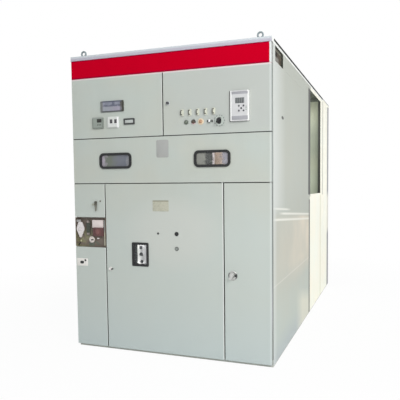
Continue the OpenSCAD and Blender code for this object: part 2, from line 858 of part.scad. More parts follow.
module observation_panel() color(paint) placed() difference() {
    pan(window_box, frame_setback);
    for (mid = window_mids) slab(mid, -cut_over, sheet_t + cut_over) window_cut();
}

module window_gaskets() color(rubber) placed() for (mid = window_mids) difference() {
    union() {
        slab(mid, -window_proud, 0) rounded(window_w, window_h, window_r);
        slab(mid, 0, sheet_t) window_cut();
        slab(mid, sheet_t, sheet_t + window_back) rounded(window_w, window_h, window_r);
    }
    slab(mid, -window_proud - cut_over, sheet_t + window_back + cut_over)
        rounded(window_w - 2 * window_rim, window_h - 2 * window_rim, window_r - window_rim);
    slab(mid, 0, glass_t) pane_outline(glass_grip);
}

module pane_outline(grip) {
    rounded(window_w - 2 * (window_rim - grip), window_h - 2 * (window_rim - grip),
        window_r - window_rim + grip);
}

module window_panes() color(glass_tint) placed()
    for (mid = window_mids) slab(mid, 0, glass_t) pane_outline(glass_grip - glass_clear);

module left_top_panel() color(paint) placed() pan(left_top_box, frame_setback);

module left_low_panel() color(paint) placed() pan(left_low_box, frame_setback);

// Angle welded across the inside of a door
module door_rib(edges, z) translate([edges[0], 0, z]) rotate([90, 0, 90])
    linear_extrude(edges[1] - edges[0])
        translate([rib_d, 0]) mirror([1, 0]) angle_outline(rib_d, rib_w, sheet_t);

// Hinged pan with angles and a welded bushing at the top and bottom of its hinge edge
module hinged_pan(edges, x) difference() {
    union() {
        pan(edges, door_t);
        for (z = [edges[2] + rib_low, edges[3] - rib_high]) door_rib(edges, z);
        for (z = [edges[2], edges[3] - bushing_l])
            translate([x, pivot_back, z]) cylinder(r = bushing_r, h = bushing_l);
    }
    for (z = [edges[2] - cut_over, edges[3] - pin_l - pin_r])
        translate([x, pivot_back, z]) cylinder(r = pin_r + pin_clear, h = pin_l + pin_r + cut_over);
}

module port_cut() {
    rounded(port_w - 2 * port_lap, port_h - 2 * port_lap, port_cut_r);
}

module centre_door() color(paint) placed() difference() {
    hinged_pan(centre_box, hinge_lines[0]);
    slab(port_mid, -cut_over, sheet_t + cut_over) port_cut();
}

module port_pane_outline(clear) {
    grip = port_rim - port_grip + clear;
    square([port_w - 2 * grip, port_h - 2 * grip], center = true);
}

module port_frame() color(rubber) placed() difference() {
    union() {
        slab(port_mid, -port_proud, 0) rounded(port_w, port_h, port_r);
        slab(port_mid, 0, port_back) port_cut();
    }
    slab(port_mid, -port_proud - cut_over, port_back + cut_over)
        square([port_w - 2 * port_rim, port_h - 2 * port_rim], center = true);
    slab(port_mid, port_pane_y, port_pane_y + port_pane_t) port_pane_outline(0);
}

module port_pane() color(glass_tint) placed()
    slab(port_mid, port_pane_y, port_pane_y + port_pane_t) port_pane_outline(glass_clear);

module plug(mid, r) {
    turned(mid, [[0, 0], [r, 0], [r, plug_proud - plug_chamfer],
        [r - plug_chamfer, plug_proud], [0, plug_proud]]);
}

module door_plugs() color(rubber) placed() {
    plug([centre_box[0] + plug_small_x, door_top - plug_upper_z], plug_small_r);
    plug([centre_box[0] + plug_large_x, door_top - plug_upper_z], plug_large_r);
    plug([centre_box[0] + plug_large_x, door_top - plug_lower_z], plug_large_r);
}

module knob_lock(mid) {
    turned(mid, [[0, 0], [lock_r, 0], [lock_r, lock_plate_t - lock_chamfer],
        [lock_r - lock_chamfer, lock_plate_t], [lock_knob_r, lock_plate_t],
        [lock_knob_r, lock_proud - lock_chamfer],
        [lock_knob_r - lock_chamfer, lock_proud], [0, lock_proud]]);
}

module centre_lock() color("#b9bcc0") placed() knob_lock([centre_box[0] + lock_in, lock_z]);

module upper_lock() color("#b9bcc0") placed()
    knob_lock([relay_door_box[0] + upper_lock_in, z_instrument + upper_lock_z]);

module right_door() color(paint) placed() hinged_pan(right_box, hinge_lines[1]);

module right_handle() color("#b9bcc0") placed() {
    dish_r = handle_r - handle_rim;
    floor_t = handle_plate_t / 2;
    translate([right_box[0] + handle_in, 0, lock_z]) {
        turned([0, 0], [[0, 0], [handle_r, 0], [handle_r, floor_t], [handle_r - floor_t, handle_plate_t],
            [dish_r, handle_plate_t], [dish_r - floor_t, floor_t], [handle_neck_r, floor_t],
            [handle_neck_r, handle_proud], [0, handle_proud]]);
        rotate([0, handle_turn, 0]) slab([0, 0], -handle_proud, -handle_proud + handle_grip_t)
            rounded(handle_grip_w, 2 * dish_r, handle_grip_w / 2 - grip_flat);
    }
}

// Bracket on the frame with the pin that a door hangs on
module hinge_bracket(x, z, dir) {
    translate([x, pivot_back, z]) {
        cylinder(r = bracket_r, h = bracket_t);
        translate([-bracket_r, 0, 0]) cube([2 * bracket_r, frame_setback - pivot_back, bracket_t]);
        translate([0, 0, bracket_t / 2]) mirror([0, 0, dir > 0 ? 0 : 1])
            cylinder(r = pin_r, h = (line_gap - bracket_t) / 2 + bracket_t / 2 + pin_l);
    }
}

module hinge_brackets() color("#9a9da0") placed() for (x = hinge_lines) {
    hinge_bracket(x, door_top + (line_gap - bracket_t) / 2, -1);
    hinge_bracket(x, door_lift - (line_gap - bracket_t) / 2 - bracket_t, 1);
}

module niche_tray() color(bronze) placed() difference() {
    box([niche_box[0], 0, niche_box[2]], [niche_box[1], frame_setback, niche_box[3]]);
    box([niche_box[0] + sheet_t, -cut_over, niche_box[2] + sheet_t],
        [niche_box[1] - sheet_t, frame_setback - sheet_t, niche_box[3] - sheet_t]);
}

module oval_plate() color("#e6e4dc") placed() {
    mid = [niche_box[0] + oval_x, niche_top - oval_z];
    slab(mid, -oval_t, 0) egg(oval_top_r, oval_up, oval_w / 2, oval_tip_r, oval_h - oval_up);
    slab(mid, 0, niche_back) circle(spindle_r);
    slab(mid, -oval_t - spindle_nut, -oval_t) circle(spindle_r, $fn = 6);
}

module mechanism_casting() color("#7a3d2c") placed() {
    mid = [niche_box[1] - casting_in - casting_w / 2, niche_low + casting_z + casting_h / 2];
    face = niche_back - casting_d;
    rib_pitch = (casting_w - casting_rib_w - 2 * bezel_r) / (casting_ribs - 1);
    slab(mid, face, niche_back) rounded(casting_w, casting_h, bezel_r);
    for (i = [0:casting_ribs - 1])
        slab(mid + [(i - (casting_ribs - 1) / 2) * rib_pitch, 0], face - casting_rib_d, face)
            square([casting_rib_w, casting_h - 2 * bezel_r], center = true);
    slab(mid, face - casting_rib_d, face) circle(casting_boss_r);
}

module mechanism_hub() color("#d9d7d0") placed() {
    mid = [niche_box[0] + hub_x, niche_low + hub_z];
    tip = niche_back - hub_d;
    slab(mid, tip, niche_back) circle(hub_shaft_r);
    slab(mid, tip + hub_thread, tip + hub_thread + hub_nut_t) circle(hub_nut_w / 2, $fn = 6);
    slab(mid, tip + hub_thread + hub_nut_t, tip + hub_thread + hub_nut_t + hub_washer_t) circle(hub_r);
}

module mechanism_link() color("#8b8d8c") placed() {
    low = niche_low + hub_z + hub_r + link_clear + link_w / 2;
    high = niche_top - link_drop;
    face = niche_back - link_off - link_t;
    slab([niche_box[0] + link_x, (low + high) / 2], face, face + link_t)
        rounded(link_w, high - low + link_w, link_w / 2 - grip_flat);
    for (z = [low, high]) {
        slab([niche_box[0] + link_x, z], face + link_t, niche_back) circle(link_stud_r);
        slab([niche_box[0] + link_x, z], face - link_nut_t, face) circle(link_nut_r, $fn = 6);
    }
}

module panel_latch() color("#7c7f80") placed() {
    mid = [front_l + latch_x, left_top_box[2] + latch_z];
    pivot = mid + [0, latch_h / 2 - latch_w / 2];
    slab(pivot, -latch_boss, 0) circle(latch_boss_r);
    slab(pivot, -latch_boss - latch_t, -latch_boss)
        tapered(latch_w / 2, latch_tip_r, latch_h - latch_w / 2 - latch_tip_r);
    slab(pivot - [latch_arm / 2, latch_w], -latch_boss - latch_t, -latch_boss)
        square([latch_arm, latch_arm_h], center = true);
}

module meter_case() color("#2b2e31") placed() difference() {
    flush_device(meter_mid, meter_w, meter_h, meter_proud);
    slab(meter_mid, -meter_proud - cut_over, -meter_proud + meter_glass_in + meter_glass_t)
        rounded(meter_w - 2 * meter_rim, meter_h - 2 * meter_rim, face_r);
}

module meter_glass() color(glass_tint) placed()
    slab(meter_mid, -meter_proud + meter_glass_in, -meter_proud + meter_glass_in + meter_glass_t)
        rounded(meter_w - 2 * (meter_rim + glass_clear), meter_h - 2 * (meter_rim + glass_clear), face_r);

module voltage_indicator() color("#8c968e") placed() flush_device(volt_mid, volt_w, volt_h, volt_proud);

// Flush device with a sunk face inside its rim
module dished_device(mid, w, h, proud) difference() {
    flush_device(mid, w, h, proud);
    slab(mid, -proud - cut_over, -proud + face_sink) rounded(w - 2 * face_rim, h - 2 * face_rim, face_r);
}

module climate_controller() color("#e8e9e6") placed()
    dished_device(climate_mid, climate_w, climate_h, climate_proud);

module counter() color("#34373a") placed() dished_device(counter_mid, counter_w, counter_h, counter_proud);

module link_straps() color("#cfd08f") placed() for (mid = strap_mids) {
    slab(mid, -strap_base_t, 0) rounded(strap_w, strap_h, face_r);
    slab(mid, -strap_proud, -strap_base_t) rounded(strap_bar_w, strap_bar_h, strap_bar_w / 2 - grip_flat);
}

module signal_lamps() color("#b8452c") placed() for (mid = lamp_mids) {
    turned(mid, [[0, 0], [lamp_r, 0], [lamp_r, lamp_ring_t], [lamp_lens_r, lamp_ring_t],
        [lamp_lens_r, lamp_side], [lamp_flat_r, lamp_proud], [0, lamp_proud]]);
    slab(mid, 0, body_d) circle(lamp_body_r);
}

module selector_switch() color("#1f2123") placed() {
    slab(selector_mid, -control_plate_t, 0) rounded(selector_w, selector_w, face_r);
    slab(selector_mid, -selector_proud / 2, -control_plate_t) circle(selector_knob_r);
    slab(selector_mid, -selector_proud, -control_plate_t)
        rounded(selector_grip_w, 2 * selector_knob_r - 2 * grip_flat, face_r);
}

module control_switch() color("#1f2123") placed() {
    slab(control_mid, -control_plate_t, 0) rounded(control_plate, control_plate, bezel_r);
    turned(control_mid, [[0, 0], [control_boss_r, 0], [control_boss_r, control_plate_t],
        [control_face_r, control_boss_h], [0, control_boss_h]]);
    translate([control_mid[0], 0, control_mid[1]]) rotate([0, control_turn, 0])
        slab([0, 0], -control_proud, -control_plate_t) rounded(control_grip_w, 2 * control_face_r, bezel_r);
}

// Relay with a raised border, a sunk display and keys on its face
module protection_relay() color("#d4d6da") placed() {
    face = -relay_proud + relay_sink;
    keys_mid = relay_mid + [relay_key_right, -relay_key_down];
    difference() {
        flush_device(relay_mid, relay_w, relay_h, relay_proud);
        slab(relay_mid, -relay_proud - cut_over, face)
            rounded(relay_w - 2 * relay_rim, relay_h - 2 * relay_rim, face_r);
        slab(relay_mid + [0, relay_lcd_up], face - cut_over, face + relay_lcd_d)
            square([relay_lcd_w, relay_lcd_h], center = true);
    }
    for (x = [-1, 0, 1], z = [-1, 0, 1]) if (abs(x) == abs(z))
        slab(keys_mid + relay_key_pitch * [x, z], face - relay_key_proud, face)
            rounded(relay_key, relay_key, face_r);
}

// Tray across the cabinet with its long edges folded down
module control_bus_tray() color("#7a5a3c") placed() {
    box([-wall_x, tray_y[0], tray_top - sheet_t], [wall_x, tray_y[1], tray_top]);
    for (y = [tray_y[0], tray_y[1] - sheet_t])
        box([-wall_x, y, tray_top - tray_lip], [wall_x, y + sheet_t, tray_top]);
}

module rod_supports() color("#5d4a38") placed() for (x = [-comb_x, comb_x]) difference() {
    box([x - comb_t / 2, rod_ys[0] - rod_pitch / 2, tray_top],
        [x + comb_t / 2, rod_ys[rod_n - 1] + rod_pitch / 2, rod_z + 2 * rod_r]);
    for (y = rod_ys) translate([x - comb_t / 2 - cut_over, y, rod_z]) rotate([0, 90, 0])
        cylinder(r = rod_r + pin_clear, h = comb_t + 2 * cut_over);
}

module control_bus_rods() color("#b0703a") placed() for (y = rod_ys)
    translate([-wall_x + rod_end_in, y, rod_z]) rotate([0, 90, 0])
        cylinder(r = rod_r, h = 2 * (wall_x - rod_end_in));

module breaker_housing() color("#b5bab4") placed() {
    difference() {
        box([breaker_x[0], breaker_y, breaker_z],
            [breaker_x[1], breaker_y + breaker_d, breaker_z + breaker_h]);
        box([breaker_x[0] + breaker_t, breaker_y + breaker_t, breaker_z + breaker_t],
            [breaker_x[1] - breaker_t, breaker_y + breaker_d + cut_over, breaker_z + breaker_h - breaker_t]);
    }
    for (y = [0, 1]) translate([0, breaker_y + y * breaker_d, 0]) mirror([0, y, 0]) {
        translate([breaker_x[0], 0, 0]) angle_post(foot_w, foot_t, floor_top, breaker_z);
        translate([breaker_x[1], 0, 0]) mirror([1, 0, 0]) angle_post(foot_w, foot_t, floor_top, breaker_z);
    }
}

module indicator_panel() color("#eceeea") placed()
    slab(port_mid, breaker_y - indicator_t, breaker_y) rounded(indicator_w, indicator_h, bezel_r);

// Insulating boards between the phases, seen through the right window
module phase_barriers() color("#cdb78f") placed() both_sides()
    box([barrier_x - barrier_t / 2, barrier_y, z_window + sheet_t],
        [barrier_x + barrier_t / 2, barrier_y + barrier_l, z_window + sheet_t + barrier_h]);

base_frame();
floor_plate();
corner_posts();
front_mullions();
front_transoms();
roof_cover();
rear_roof();
lifting_eyes();
left_front_wall();
right_front_wall();
left_bus_wall();
right_bus_wall();
rear_side_walls();
rear_covers();
mid_partition();
rear_bulkhead();
chamber_floor();
header_panel();
meter_door();
relay_door();
observation_panel();
window_gaskets();
window_panes();
left_top_panel();
left_low_panel();
centre_door();
port_frame();
port_pane();
door_plugs();
centre_lock();
right_door();
right_handle();
hinge_brackets();
niche_tray();
oval_plate();
mechanism_casting();
mechanism_hub();
mechanism_link();
panel_latch();
meter_case();
meter_glass();
voltage_indicator();
climate_controller();
counter();
link_straps();
signal_lamps();
selector_switch();
control_switch();
protection_relay();
upper_lock();
control_bus_tray();
rod_supports();
control_bus_rods();
breaker_housing();
indicator_panel();
phase_barriers();
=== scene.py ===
import json
import math

import bmesh
import bpy
from mathutils import Matrix, Vector


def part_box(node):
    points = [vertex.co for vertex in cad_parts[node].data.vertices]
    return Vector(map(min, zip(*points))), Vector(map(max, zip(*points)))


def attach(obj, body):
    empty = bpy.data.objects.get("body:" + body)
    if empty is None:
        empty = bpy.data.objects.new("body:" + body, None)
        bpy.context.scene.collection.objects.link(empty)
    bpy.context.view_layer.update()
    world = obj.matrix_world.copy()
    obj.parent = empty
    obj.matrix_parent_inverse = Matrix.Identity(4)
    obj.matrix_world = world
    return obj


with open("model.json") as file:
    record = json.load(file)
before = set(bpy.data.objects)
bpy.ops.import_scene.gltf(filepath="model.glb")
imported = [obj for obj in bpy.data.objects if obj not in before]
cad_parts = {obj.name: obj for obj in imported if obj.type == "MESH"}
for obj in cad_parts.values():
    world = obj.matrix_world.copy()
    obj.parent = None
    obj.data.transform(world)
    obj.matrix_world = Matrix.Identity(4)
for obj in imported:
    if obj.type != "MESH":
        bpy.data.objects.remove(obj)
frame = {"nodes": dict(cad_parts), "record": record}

scene = bpy.context.scene
scene.view_settings.view_transform = "Standard"
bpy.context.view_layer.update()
mm = 0.001  # lengths in the added pieces' dictionaries are in millimetres
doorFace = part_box("relay_door")[0].y  # plane of the closed door faces
print("frame loaded:", len(frame["nodes"]), "nodes")


def middle(node):
    low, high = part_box(node)
    return (low + high) / 2


def metres(values):
    return [v * mm for v in values]


def placed(values):
    # x, z, width and height on the front in millimetres
    x, z, width, height = metres(values)
    return (x, z), (width, height)


def beside(mid, right, up):
    # x and z of a place on the front, from a middle
    return mid.x + right * mm, mid.z + up * mm


def spread(count, pitch):
    # offsets of a row of pieces from its middle
    return [(i - (count - 1) / 2) * pitch * mm for i in range(count)]


def between(low, high, inset, count):
    # even places from end to end, the first and the last at an inset
    run = high - low - 2 * inset
    return [low + inset + run * i / (count - 1) for i in range(count)]


def bothWays(operation):
    # an operator of sockets and its reflected form
    return (lambda self, other: self.maths(operation, self, other),
            lambda self, other: self.maths(operation, other, self))


# Shader sockets that take part in sums
class Wire:
    __add__, __radd__ = bothWays("ADD")
    __sub__, __rsub__ = bothWays("SUBTRACT")
    __mul__, __rmul__ = bothWays("MULTIPLY")
    __truediv__, __rtruediv__ = bothWays("DIVIDE")

    def __init__(self, graph, socket):
        self.graph = graph
        self.socket = socket

    def maths(self, operation, *values):
        return self.graph.node("ShaderNodeMath", {"operation": operation}, dict(enumerate(values)))

    def above(self, edge, soft):
        # 0 below the edge, 1 above it, with a soft step
        settings = {"operation": "MULTIPLY_ADD", "use_clamp": True}
        return self.graph.node("ShaderNodeMath", settings, {0: self, 1: 1 / soft, 2: 0.5 - edge / soft})

    def below(self, edge, soft):
        return 1 - self.above(edge, soft)

    def within(self, low, high, soft):
        return self.above(low, soft) * self.below(high, soft)

    def size(self):
        return self.maths("ABSOLUTE", self)

    def larger(self, other):
        return self.maths("MAXIMUM", self, other)


class Graph:
    def __init__(self, tree):
        self.tree = tree

    def node(self, kind, settings=None, sockets=None, output=0):
        made = self.tree.nodes.new(kind)
        for name, value in (settings or {}).items():
            setattr(made, name, value)
        for name, value in (sockets or {}).items():
            self.link(made.inputs[name], value)
        return Wire(self, made.outputs[output])

    def link(self, socket, value):
        if isinstance(value, Wire):
            self.tree.links.new(value.socket, socket)
        elif socket.type == "RGBA":
            socket.default_value = (*value[:3], 1.0)
        else:
            socket.default_value = value


class Finish(Graph):
    def __init__(self, name, **constants):
        self.material = bpy.data.materials.new(name)
        self.material.use_nodes = True
        super().__init__(self.material.node_tree)
        self.shader = self.tree.nodes["Principled BSDF"]
        self.feed(**constants)
        self.place = self.node("ShaderNodeTexCoord", output="Object")
        self.x, self.y, self.z = [self.axis(name) for name in "XYZ"]
        self.behind = self.y - doorFace  # depth behind the door faces

    def axis(self, name):
        return self.node("ShaderNodeSeparateXYZ", {}, {0: self.place}, name)

    def feed(self, **sockets):
        # camelCase names stand for the shader's sockets, baseColor for Base Color
        for name, value in sockets.items():
            title = "".join(" " + c if c.isupper() else c for c in name).title()
            title = {"Ior": "IOR", "Specular Level": "Specular IOR Level"}.get(title, title)
            self.link(self.shader.inputs[title], value)

    def noise(self, scale, detail=3.0, stretch=(1, 1, 1)):
        spot = self.node("ShaderNodeMapping", {}, {"Vector": self.place, "Scale": stretch})
        return self.node("ShaderNodeTexNoise", {}, {"Vector": spot, "Scale": scale, "Detail": detail}, "Fac")

    def mix(self, factor, first, second):
        return self.node("ShaderNodeMix", {"data_type": "RGBA"}, {0: factor, 6: first, 7: second}, 2)

    def layers(self, base, *coats):
        # each (mask, colour) lies over the ones before it
        for mask, colour in coats:
            base = self.mix(mask, base, colour)
        return base

    def reach(self, mid):
        # distance on the front from a point
        across = self.x - mid.x
        up = self.z - mid.z
        return across.maths("SQRT", across * across + up * up)

    def close(self, base, roughness, relief, strength, depth, tone=None):
        # last step of every finish: the layers of its tone, roughness and fine relief
        if tone:
            base = self.layers(base, *tone(self))
        bump = self.node("ShaderNodeBump", {}, {"Height": relief, "Strength": strength, "Distance": depth})
        self.feed(baseColor=base, roughness=roughness, normal=bump)
        return self.material


def oval(across, up, mid, half):
    # squared distance from the middle, 1 at the edge of the oval
    across = (across - mid[0]) / half[0]
    up = (up - mid[1]) / half[1]
    return across * across + up * up


def shade(colour, share):
    return tuple(c * share for c in colour)


# Sprayed enamel on sheet steel: slow tone drift, dust that ran down, orange peel
enamelLook = {"drift": 0.16, "warm": 0.04, "streak": 0.12, "scuff": 0.10, "roughness": 0.42, "peel": 0.0004,
              "shine": 0.35}


def enamel(name, colour, look=enamelLook, tone=None):
    finish = Finish(name, specularLevel=look["shine"])
    drift = finish.noise(1.3, 2.0)
    hue = finish.noise(2.6, 2.0)
    streak = finish.noise(7.0, 3.0, (1, 1, 0.12))
    speck = finish.noise(60.0, 4.0)
    peel = finish.noise(420.0, 1.0)
    low = finish.z.below(0.16, 0.3)  # kicked and dusty near the floor
    warm = (colour[0] * (1 + look["warm"]), colour[1] * 0.995, colour[2] * (1 - look["warm"]))
    base = finish.layers(
        colour,
        (hue.above(0.5, 0.3), warm),
        (drift.above(0.5, 0.5) * look["drift"], shade(colour, 0.84)),
        (streak.above(0.58, 0.2) * look["streak"], shade(colour, 0.86)),
        ((speck.above(0.66, 0.08) + low) * look["scuff"], shade(colour, 0.72)))
    roughness = look["roughness"] + 0.10 * drift + 0.06 * low
    return finish.close(base, roughness, peel, strength=0.25, depth=look["peel"], tone=tone)


def bareMetal(name, colour, roughness, grain=(1, 1, 1), tone=None):
    finish = Finish(name, metallic=1.0)
    spangle = finish.noise(220.0, 3.0, grain)
    patch = finish.noise(18.0, 2.0)
    base = finish.mix(spangle, shade(colour, 0.82), shade(colour, 1.12))
    base = finish.mix(patch.above(0.6, 0.25) * 0.4, base, shade(colour, 0.62))
    return finish.close(base, roughness + 0.16 * patch, spangle, strength=0.15, depth=0.0003, tone=tone)


def moulded(name, colour, roughness, tone=None, coat=0.0):
    finish = Finish(name, specularLevel=0.45, coatWeight=coat, coatRoughness=0.08)
    pebble = finish.noise(900.0, 1.0)
    haze = finish.noise(24.0)
    base = finish.mix(haze, shade(colour, 0.9), shade(colour, 1.1))
    return finish.close(base, roughness + 0.12 * haze, pebble, strength=0.2, depth=0.0002, tone=tone)


# Paint colours in linear light
paint = {
    "panel": (0.500, 0.545, 0.505),
    "sideWall": (0.500, 0.530, 0.470),
    "endWall": (0.98, 0.985, 0.870),
    "trim": (0.72, 0.75, 0.74),
    "roofEdge": (0.018, 0.021, 0.020),
    "header": (0.555, 0.000, 0.016),
    "frame": (0.15, 0.16, 0.15),
    "bulkhead": (0.55, 0.60, 0.475),
    "bronze": (0.115, 0.085, 0.070),
    # joint: colour of the painted shade in joints, seams and gaps
    "joint": (0.045, 0.047, 0.042),
    "litFold": (0.86, 0.87, 0.84),
}

# Front: pale fold and painted shade in the joint at the right corner, header's foot, and the paler middle of
# the centre door
panelMarks = {"front": 0.900, "side": 0.9132, "edge": (0.36, 0.395, 0.38), "lilac": (0.32, 0.66),
              "fold": 0.007, "header": 2.40, "paleMid": (0.05, 1.05), "paleHalf": (0.45, 0.32),
              "lighter": 1.30, "cooler": 0.25, "greyer": (0.15, 1.90), "jointDepth": 0.003}
# painted highlight on each fold, painted shade on the panel edges in each seam
# Seams beside the panels' right-hand folds: x, lower and upper end, share of light on the fold
foldSet = ((-0.600, 0.03, 1.478, 0.35), (-0.022, 1.880, 2.398, 0.35), (0.511, 0.03, 1.478, 0.70))


def panelTone(finish):
    inside = finish.behind.above(panelMarks["jointDepth"], 0.001)
    outside = 1 - inside
    top = panelMarks["header"]
    header = finish.z.above(top, 0.02)
    paler = oval(finish.x, finish.z, panelMarks["paleMid"], panelMarks["paleHalf"])
    doorLeft, doorFoot = panelMarks["greyer"]
    relayDoor = finish.x.above(doorLeft, 0.6) * finish.z.above(doorFoot, 0.1) * finish.z.below(top, 0.005)
    lit = finish.z.within(top - 0.011, top + 0.001, 0.004) * outside  # lit edge under the header
    pale = finish.x.above(panelMarks["front"], 0.004) * outside * (0.4 + 0.6 * header)
    # painted shade on the pans' right-hand returns in the corner joint, paler by the header and lilac lower
    # down
    lilac = finish.z.within(*panelMarks["lilac"], 0.12) * 0.8
    edge = finish.layers(panelMarks["edge"], (lilac, (0.49, 0.49, 0.53)), (header, (0.50, 0.50, 0.49)))
    tones = [
        (finish.z.below(panelMarks["lighter"], 0.5) * 0.85, (0.526, 0.573, 0.538)),
        (finish.z.below(panelMarks["cooler"], 0.6) * 0.5, (0.50, 0.585, 0.605)),
        (paler.below(0.7, 0.9) * 0.6, (0.580, 0.592, 0.548)),
        (relayDoor * 0.8, (0.472, 0.496, 0.470)),
        (lit * 0.7, (0.78, 0.66, 0.67)),
        (pale, paint["trim"]),
        (finish.x.above(panelMarks["side"], 0.0004) * inside, edge),
    ]
    for seam, low, high, share in foldSet:
        fold = finish.x.within(seam - panelMarks["fold"], seam + 0.001, 0.003)
        fold = fold * finish.z.within(low, high, 0.004) * outside
        # painted shade on the panel edges inside the seam
        joint = finish.x.within(seam - 0.0015, seam + 0.0015, 0.0005) * inside
        tones += [(fold * share, paint["litFold"]), (joint, paint["joint"])]
    return tones


def headerTone(finish):
    # darker towards its upper and lower edges
    low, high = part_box("header_panel")
    rim = finish.z.above(high.z - 0.008, 0.006) + finish.z.below(low.z + 0.012, 0.008)
    return [(rim * 0.8, (0.28, 0.002, 0.030))] + panelTone(finish)


# Underside of the roof, seen through the control bus opening: dusty patches and painted shade along the
# opening's top edge
underMarks = {"depth": (0.05, 1.20), "edge": 0.887, "lean": 4.15, "left": 0.30, "right": 0.44}


def underTone(finish):
    inward = underMarks["edge"] - finish.x.size()
    along = finish.behind - underMarks["lean"] * inward
    left = underMarks["left"]
    return finish.layers(
        finish.mix(finish.noise(30.0), (0.20, 0.165, 0.145), (0.36, 0.30, 0.265)),
        (along.below(left, 0.03) * inward.below(0.068, 0.012), (0.15, 0.125, 0.125)),
        (along.below(left + 0.05, 0.05) * inward.above(0.072, 0.012), (0.66, 0.62, 0.62)),
        (inward.within(0.018, 0.034, 0.008), (0.56, 0.55, 0.49)),
        (along.above(underMarks["right"], 0.05), (0.11, 0.115, 0.10)),
        # painted shade along the wall, under the opening's top edge
        (inward.below(0.014, 0.008), (0.11, 0.11, 0.095)))


def roofTone(finish):
    low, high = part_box("roof_cover")
    side = finish.x.size().above(high.x - 0.001, 0.0008)
    strip = finish.y.below(low.y + 0.002, 0.002)
    shaded = finish.z.below((low.z + high.z) / 2 + 0.004, 0.012)
    under = finish.z.below(high.z - 0.001, 0.0004) * finish.x.size().below(high.x - 0.002, 0.0008)
    rim = finish.z.above(high.z - 0.021, 0.004) * side * finish.y.above(low.y + 0.065, 0.02)
    return [
        (strip, finish.mix(shaded, (0.60, 0.64, 0.67), (0.49, 0.47, 0.54))),
        (side, paint["litFold"]),
        (under * finish.behind.within(*underMarks["depth"], 0.05), underTone(finish)),
        (under * finish.behind.above(1.6, 0.1), (0.20, 0.215, 0.185)),  # over the bus bay
        (rim, paint["roofEdge"]),
    ]


# Front side walls: painted shade at the post joint and rear strip, cable hole; painted reflection strokes
# and line on the right wall
wallMarks = {"joint": 0.034, "hole": (0.356, 2.027), "holeHalf": (0.040, 0.014), "face": 0.9195,
             "upperShadeStrip": 1.600, "lowerShadeStrip": 1.645, "top": 2.525, "gap": (1.296, 1.352),
             "fall": 0.063, "line": (0.638, 0.650), "wornFall": 0.227, "worn": (1.10, 0.60),
             "postStep": 1.25, "post": (0.12, 0.22), "darker": 0.7, "beigeReflection": 1.225, "cooler": 0.35,
             "foot": 0.12}
# Pale strokes of painted reflection: height, half width, where each starts and ends behind the front
reflectionStrokes = ((1.278, 0.007, 0.05, 0.6), (1.240, 0.009, 0.30, 1.7), (1.188, 0.009, 0.05, 1.7))


def wallEdgeTone(finish):
    # the pale post fades rearwards
    lowPost, highPost = wallMarks["post"]
    high = finish.z.above(wallMarks["postStep"], 0.1)
    post = high * finish.behind.below(highPost, 0.5) * 0.65
    post = post + (1 - high) * finish.behind.below(lowPost, 0.08) * 0.4
    hole = oval(finish.behind, finish.z, wallMarks["hole"], wallMarks["holeHalf"]).below(1.0, 0.15)
    low, over = wallMarks["gap"]
    upper = finish.z.within(over, wallMarks["top"], 0.006)
    upper = upper * finish.behind.above(wallMarks["upperShadeStrip"], 0.006)
    lower = finish.z.below(low, 0.006) * finish.behind.above(wallMarks["lowerShadeStrip"], 0.006)
    outside = finish.x.size().above(wallMarks["face"], 0.0004)
    # painted shade: a dark line in the joint at the front post and dark strips along the rear edge; a dark
    # oval for the cable hole
    return [
        (post, paint["trim"]),
        (finish.behind.below(wallMarks["joint"], 0.012) * 0.75, (0.40, 0.41, 0.40)),
        ((hole + upper + lower) * outside, paint["joint"]),
    ]


def frontWallTone(finish):
    # right wall: beige field of painted reflection between the strokes and the thin line, cooler and worn
    # near the floor
    lower, upper = wallMarks["line"]
    slant = finish.z + wallMarks["fall"] * finish.behind
    rear = finish.behind.above(0.7, 1.2)
    blotch = finish.noise(3.0, 2.0).above(0.5, 0.3)
    beigeReflection = slant.below(wallMarks["beigeReflection"], 0.04) * finish.z.above(lower - 0.03, 0.22) * (0.3 + 0.7 * rear)
    wornFrom, wornTop = wallMarks["worn"]
    worn = (finish.z + wallMarks["wornFall"] * finish.behind).below(wornTop, 0.14)
    tones = [
        (finish.z.above(wallMarks["darker"], 0.5) * 0.6, shade(paint["sideWall"], 0.78)),
        (beigeReflection * (0.6 + 0.4 * blotch), finish.mix(rear, (0.600, 0.560, 0.465), (0.690, 0.625, 0.510))),
        (finish.z.below(wallMarks["cooler"], 0.5) * 0.6, (0.50, 0.585, 0.560)),
        (finish.z.below(wallMarks["foot"], 0.2) * 0.7, (0.44, 0.475, 0.50)),
        (worn * finish.behind.above(wornFrom, 0.35) * 0.7, (0.78, 0.755, 0.625)),
    ]
    # pale strokes: painted reflections on the glossy wall
    for at, half, near, far in reflectionStrokes:
        stroke = slant.within(at - half, at + half, 0.012) * finish.behind.within(near, far, 0.2)
        tones.append((stroke * 0.8, (0.84, 0.83, 0.76)))
    tones.append((finish.z.within(lower, upper, 0.006) * 0.3, (0.80, 0.76, 0.71)))
    return tones + wallEdgeTone(finish)


# Bus bay and rear walls: height of the opening's sill, depths of the joint lines and the grey rear edge
endMarks = {"sill": 1.33, "upperLine": (2.655, 2.735), "lowerLine": (2.480, 2.540), "front": 1.735,
            "rear": 3.130}


def endWallTone(finish):
    sill = endMarks["sill"]
    upper = finish.z.above(sill, 0.02)
    fade = 1 - 0.6 * finish.z.within(0.80, sill, 0.1)
    return [
        (finish.behind.within(*endMarks["upperLine"], 0.02) * upper * 0.6, (0.36, 0.36, 0.33)),
        (finish.behind.within(*endMarks["lowerLine"], 0.02) * (1 - upper) * 0.5, (0.55, 0.53, 0.33)),
        # painted shade: dark band at the front edge of the opening
        (finish.behind.below(endMarks["front"], 0.004) * upper, paint["joint"]),
        (finish.behind.above(endMarks["rear"], 0.02) * fade, (0.27, 0.27, 0.285)),
    ]


